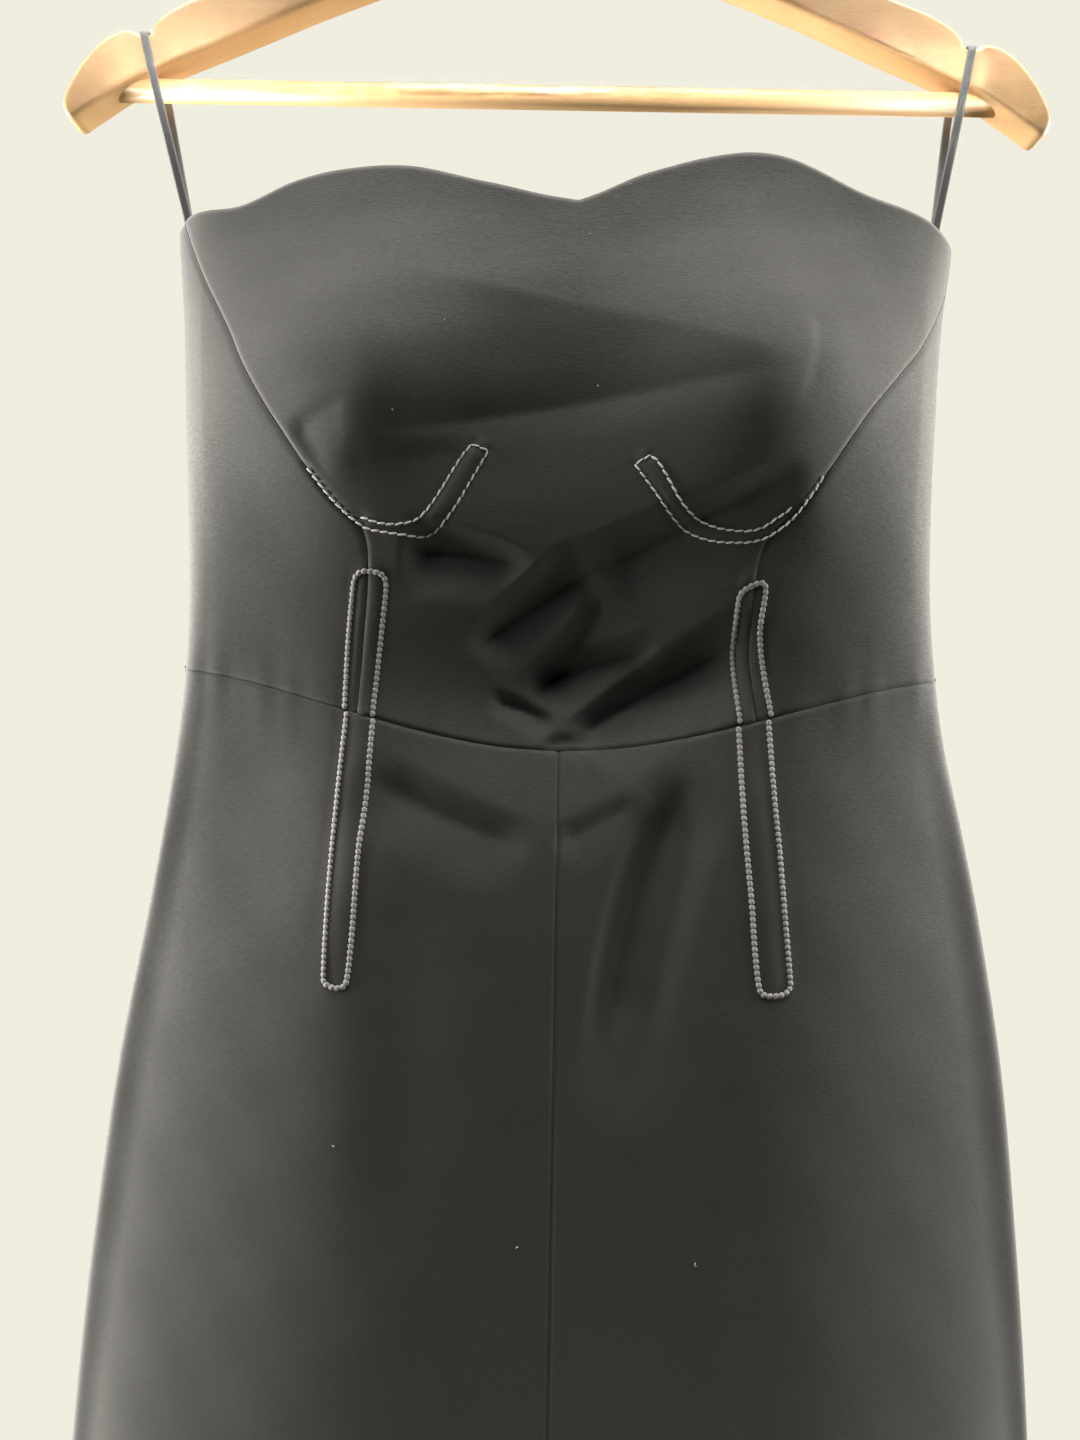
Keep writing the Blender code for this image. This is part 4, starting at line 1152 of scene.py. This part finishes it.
def curve_mesh(name, curve, turn=None):
    """Makes a mesh object of a curve, with its place in the mesh."""
    guide = link_object(name + "_guide", curve)
    bpy.context.view_layer.update()
    evaluated = guide.evaluated_get(bpy.context.evaluated_depsgraph_get())
    mesh = bpy.data.meshes.new_from_object(evaluated)
    bm = bmesh.new()
    bm.from_mesh(mesh)
    if turn is not None:
        bmesh.ops.transform(bm, matrix=turn, verts=bm.verts)
    merge_doubles(bm)
    bpy.data.objects.remove(guide)
    bpy.data.meshes.remove(mesh)
    bpy.data.curves.remove(curve)
    return add_object(name, bm)


def build_arms():
    """The wooden arms: a smooth outline with rounded edges."""
    curve = bpy.data.curves.new("arm_line", "CURVE")
    curve.dimensions = "2D"
    curve.fill_mode = "BOTH"
    curve.extrude = (ARM_THICKNESS / 2 - ARM_ROUNDING) * MM
    curve.bevel_depth = ARM_ROUNDING * MM
    curve.bevel_resolution = ARM_EDGE_STEPS
    curve.offset = -ARM_ROUNDING * MM
    half = smooth_path(ARM_EDGE, ARM_EDGE_SPACING)
    add_line(curve, [(x, z, 0) for x, z in half] + [(-x, z, 0) for x, z in half[-2:0:-1]], closed=True)
    return curve_mesh("hanger_arms_wood", curve, Matrix.Rotation(math.pi / 2, 4, "X"))


def hook_ring(degrees):
    """The middle of the hook's wire at an angle of its ring."""
    radius = HOOK_INNER_RADIUS + HOOK_WIRE_RADIUS
    angle = math.radians(degrees)
    return Vector((radius * math.cos(angle), 0, -HOOK_INNER_RADIUS + radius * math.sin(angle)))


def build_hook():
    """The hook's bent wire."""
    first = math.radians(HOOK_FIRST_ANGLE)
    start = Vector((0, 0, HOOK_STEM_TOP_Z))
    rise = Vector((0, 0, 1)) * HOOK_NECK_PULL
    lean = Vector((-math.sin(first), 0, math.cos(first))) * HOOK_NECK_PULL
    points = [Vector((0, 0, ARM_EDGE[0].z - HOOK_STEM_DEPTH + HOOK_ROOT_GAP))]
    for i in range(HOOK_NECK_STEPS):
        points.append(curve_between(start, rise, hook_ring(HOOK_FIRST_ANGLE), lean, i / HOOK_NECK_STEPS))
    for i in range(HOOK_RING_STEPS + 1):
        points.append(hook_ring(mix(HOOK_FIRST_ANGLE, HOOK_LAST_ANGLE, i / HOOK_RING_STEPS)))
    curve = bpy.data.curves.new("hook_line", "CURVE")
    curve.dimensions = "3D"
    curve.bevel_depth = HOOK_WIRE_RADIUS * MM
    curve.bevel_resolution = HOOK_EDGE_STEPS
    curve.use_fill_caps = True
    add_line(curve, points)
    return curve_mesh("hanger_hook_wire", curve)


def ribbon_line(loop, way):
    """The ribbon on the front (way -1) or the back (way 1) of the arm, as y and z from its top to its end."""
    clear = way * (ARM_THICKNESS / 2 + LOOP_CLEARANCE + LOOP_THICKNESS / 2)
    top = NOTCH_Z + LOOP_CLEARANCE + LOOP_THICKNESS / 2
    ply = way * (LOOP_THICKNESS / 2 + LOOP_PLY_GAP)
    return [
        (0, top),
        (way * (ARM_THICKNESS / 2 - ARM_ROUNDING - LOOP_FLAT_INSET), top),
        (way * (ARM_THICKNESS / 2 - LOOP_BEND_INSET), top - LOOP_BEND_DROP),
        (clear, top - LOOP_HANG_DROP),
        (clear, BAR_Z),
        ((clear + loop.end_y) / 2 + ply, (BAR_Z + LOOP_JOIN_Z) / 2),
        (loop.end_y + ply, LOOP_JOIN_Z),
        (loop.end_y + ply, LOOP_END_Z),
    ]


def build_loop(loop):
    """A ribbon that runs over the notch and down to the inside of the top edge."""
    path = smooth_path(ribbon_line(loop, -1) + ribbon_line(loop, 1)[::-1], LOOP_SPACING)
    bm = bmesh.new()
    bmesh.ops.create_grid(bm, x_segments=len(path) - 1, y_segments=LOOP_STRIPS, size=0.5)
    end_x = CENTRE_X + loop.end_across
    for vert in bm.verts:
        y, z = path[round((vert.co.x + 0.5) * (len(path) - 1))]
        lean = min(max((NOTCH_Z - z) / (NOTCH_Z - LOOP_JOIN_Z), 0.0), 1.0)
        vert.co = Vector((mix(loop.side * NOTCH_X, end_x, lean) + vert.co.y * LOOP_WIDTH, y, z)) * MM
    merge_doubles(bm)
    return add_wall(add_object(f"hanger_loop_{loop.name}_ribbon", bm), LOOP_THICKNESS, 0)


# Studio

def add_light(row, aim=LIGHT_AIM):
    """A soft box that the camera doesn't see."""
    data = bpy.data.lights.new(row.name, "AREA")
    data.shape = "RECTANGLE"
    data.size, data.size_y = row.wide, row.tall
    data.energy = row.watts
    data.color = LIGHT_COLOUR
    light = link_object(row.name, data)
    place = Vector((row.x, row.y, row.z))
    light.location = place
    light.rotation_euler = (Vector(aim) - place).to_track_quat("-Z", "Y").to_euler()
    light.visible_camera = False
    return data


def build_studio():
    """The camera, the floor, the backdrop colour and the lights."""
    data = bpy.data.cameras.new("camera")
    data.sensor_width = SENSOR
    data.lens = SENSOR / 2 * -CAMERA_PLACE[1] / HALF_VIEW_HEIGHT
    camera = link_object("camera", data)
    look = Matrix.Rotation(math.pi / 2, 4, "X") @ Matrix.Rotation(math.radians(CAMERA_ROLL), 4, "Z")
    camera.matrix_world = Matrix.Translation(Vector(CAMERA_PLACE) * MM) @ look
    bpy.context.scene.camera = camera

    world = bpy.data.worlds.new("backdrop")
    bpy.context.scene.world = world
    world.use_nodes = True
    wire = Wiring(world.node_tree)
    # The camera sees the backdrop, but the backdrop lights nothing.
    seen = wire.node("ShaderNodeBackground", Color=BACKDROP_COLOUR, Strength=1.0)
    unlit = wire.node("ShaderNodeBackground", Strength=0.0)
    ray = wire.node("ShaderNodeLightPath").outputs["Is Camera Ray"]
    both = wire.node("ShaderNodeMixShader", i0=ray, i1=unlit.outputs[0], i2=seen.outputs[0])
    world.node_tree.links.new(both.outputs[0], world.node_tree.nodes["World Output"].inputs[0])

    bm = bmesh.new()
    bmesh.ops.create_grid(bm, x_segments=1, y_segments=1, size=FLOOR_HALF_SIZE * MM)
    bmesh.ops.translate(bm, verts=bm.verts, vec=(0, 0, FLOOR_Z * MM))
    floor = add_object("floor", bm)
    paint = bpy.data.materials.new("pale_floor")
    paint.use_nodes = True
    shader = paint.node_tree.nodes["Principled BSDF"]
    shader.inputs["Base Color"].default_value = FLOOR_COLOUR
    shader.inputs["Roughness"].default_value = FLOOR_ROUGHNESS
    floor.data.materials.append(paint)

    for row in LIGHTS:
        add_light(row)
    add_light(HANGER_LIGHT, HANGER_AIM).spread = math.radians(HANGER_SPREAD)
    bpy.context.scene.view_settings.view_transform = "Standard"


# The whole

def build_cloth(crepe):
    """The nine panels, by the names of their CAD nodes."""
    places = {"bust_panel": (GRIDS["bust_panel"], bust_place)}
    for side, word in ((-1, "left"), (1, "right")):
        for part, place in (
            ("side_front", side_front_place(side)),
            ("bodice_back", bodice_back_place(side)),
            ("trouser_front", trouser_place(side, True)),
            ("trouser_back", trouser_place(side, False)),
        ):
            places[f"{part}_{word}"] = (GRIDS[part], place)
    panels = {}
    for node, (grid, place) in places.items():
        panels[node] = cloth_shell(f"{node}_cloth", grid, place)
        finish_piece(panels[node], crepe, "root", [node])
    return panels


def build_topstitching(kind, material):
    """All stitches of one kind of thread."""
    bm = bmesh.new()
    for line in STITCH_LINES:
        if line.kind == kind:
            add_stitches(bm, line)
    finish_piece(add_object(f"topstitch_{kind}", bm), material, "root")


def main():
    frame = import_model()
    sheen = {"Sheen Weight": 0.35, "Sheen Roughness": 0.5, "Specular IOR Level": 1.0}
    crepe = make_material("crepe_look", crepe_group(), sheen, bump=0.5)
    threads = thread_group()
    thread_looks = {}
    for name, row in THREAD_LOOKS.items():
        thread_looks[name] = make_material(
            name, threads, {"Roughness": row.roughness}, row.bump, row.bump_size, Color=row.colour
        )
    ribbon = make_material(
        "ribbon_look", threads, {"Roughness": 0.5, "Sheen Weight": 0.2}, 0.3, 0.0002,
        Ridges=1.2, Color=(0.15, 0.15, 0.155, 1),
    )
    wood = make_material("beech_look", wood_group(), {"Coat Weight": 0.25, "Coat Roughness": 0.3}, 0.25)
    metal = metal_group()
    steel = make_material("steel_look", metal, {"Metallic": 1.0}, 0.1, 0.0001)
    dark_metal = make_material("zip_look", metal, {"Metallic": 1.0}, 0.1, 0.0001, Color=(0.06, 0.06, 0.06, 1))

    panels = build_cloth(crepe)
    build_topstitching("fine", thread_looks["white_thread"])
    build_topstitching("rope", thread_looks["grey_thread"])
    finish_piece(build_arms(), wood, "root", ["hanger_arms"])
    bar = rod("hanger_bar_wood", BAR_RADIUS, 2 * BAR_HALF_LENGTH, (0, 0, BAR_Z), BAR_SIDES)
    finish_piece(bar, wood, "root", ["hanger_bar"])
    finish_piece(build_hook(), steel, "root", ["hanger_hook"])
    for loop in LOOPS:
        finish_piece(build_loop(loop), ribbon, "root", [f"hanger_loop_{loop.name}"])
    for node in ("zip_slider", "zip_pull"):
        obj = frame["nodes"][node]
        obj.data.materials.clear()
        obj.data.materials.append(dark_metal)
    finish_piece(build_lint(), thread_looks["lint_look"], "root")
    finish_piece(build_teeth(), thread_looks["coil_look"], "root")
    finish_piece(build_waist_rolls(), crepe, "root")
    build_studio()


main()
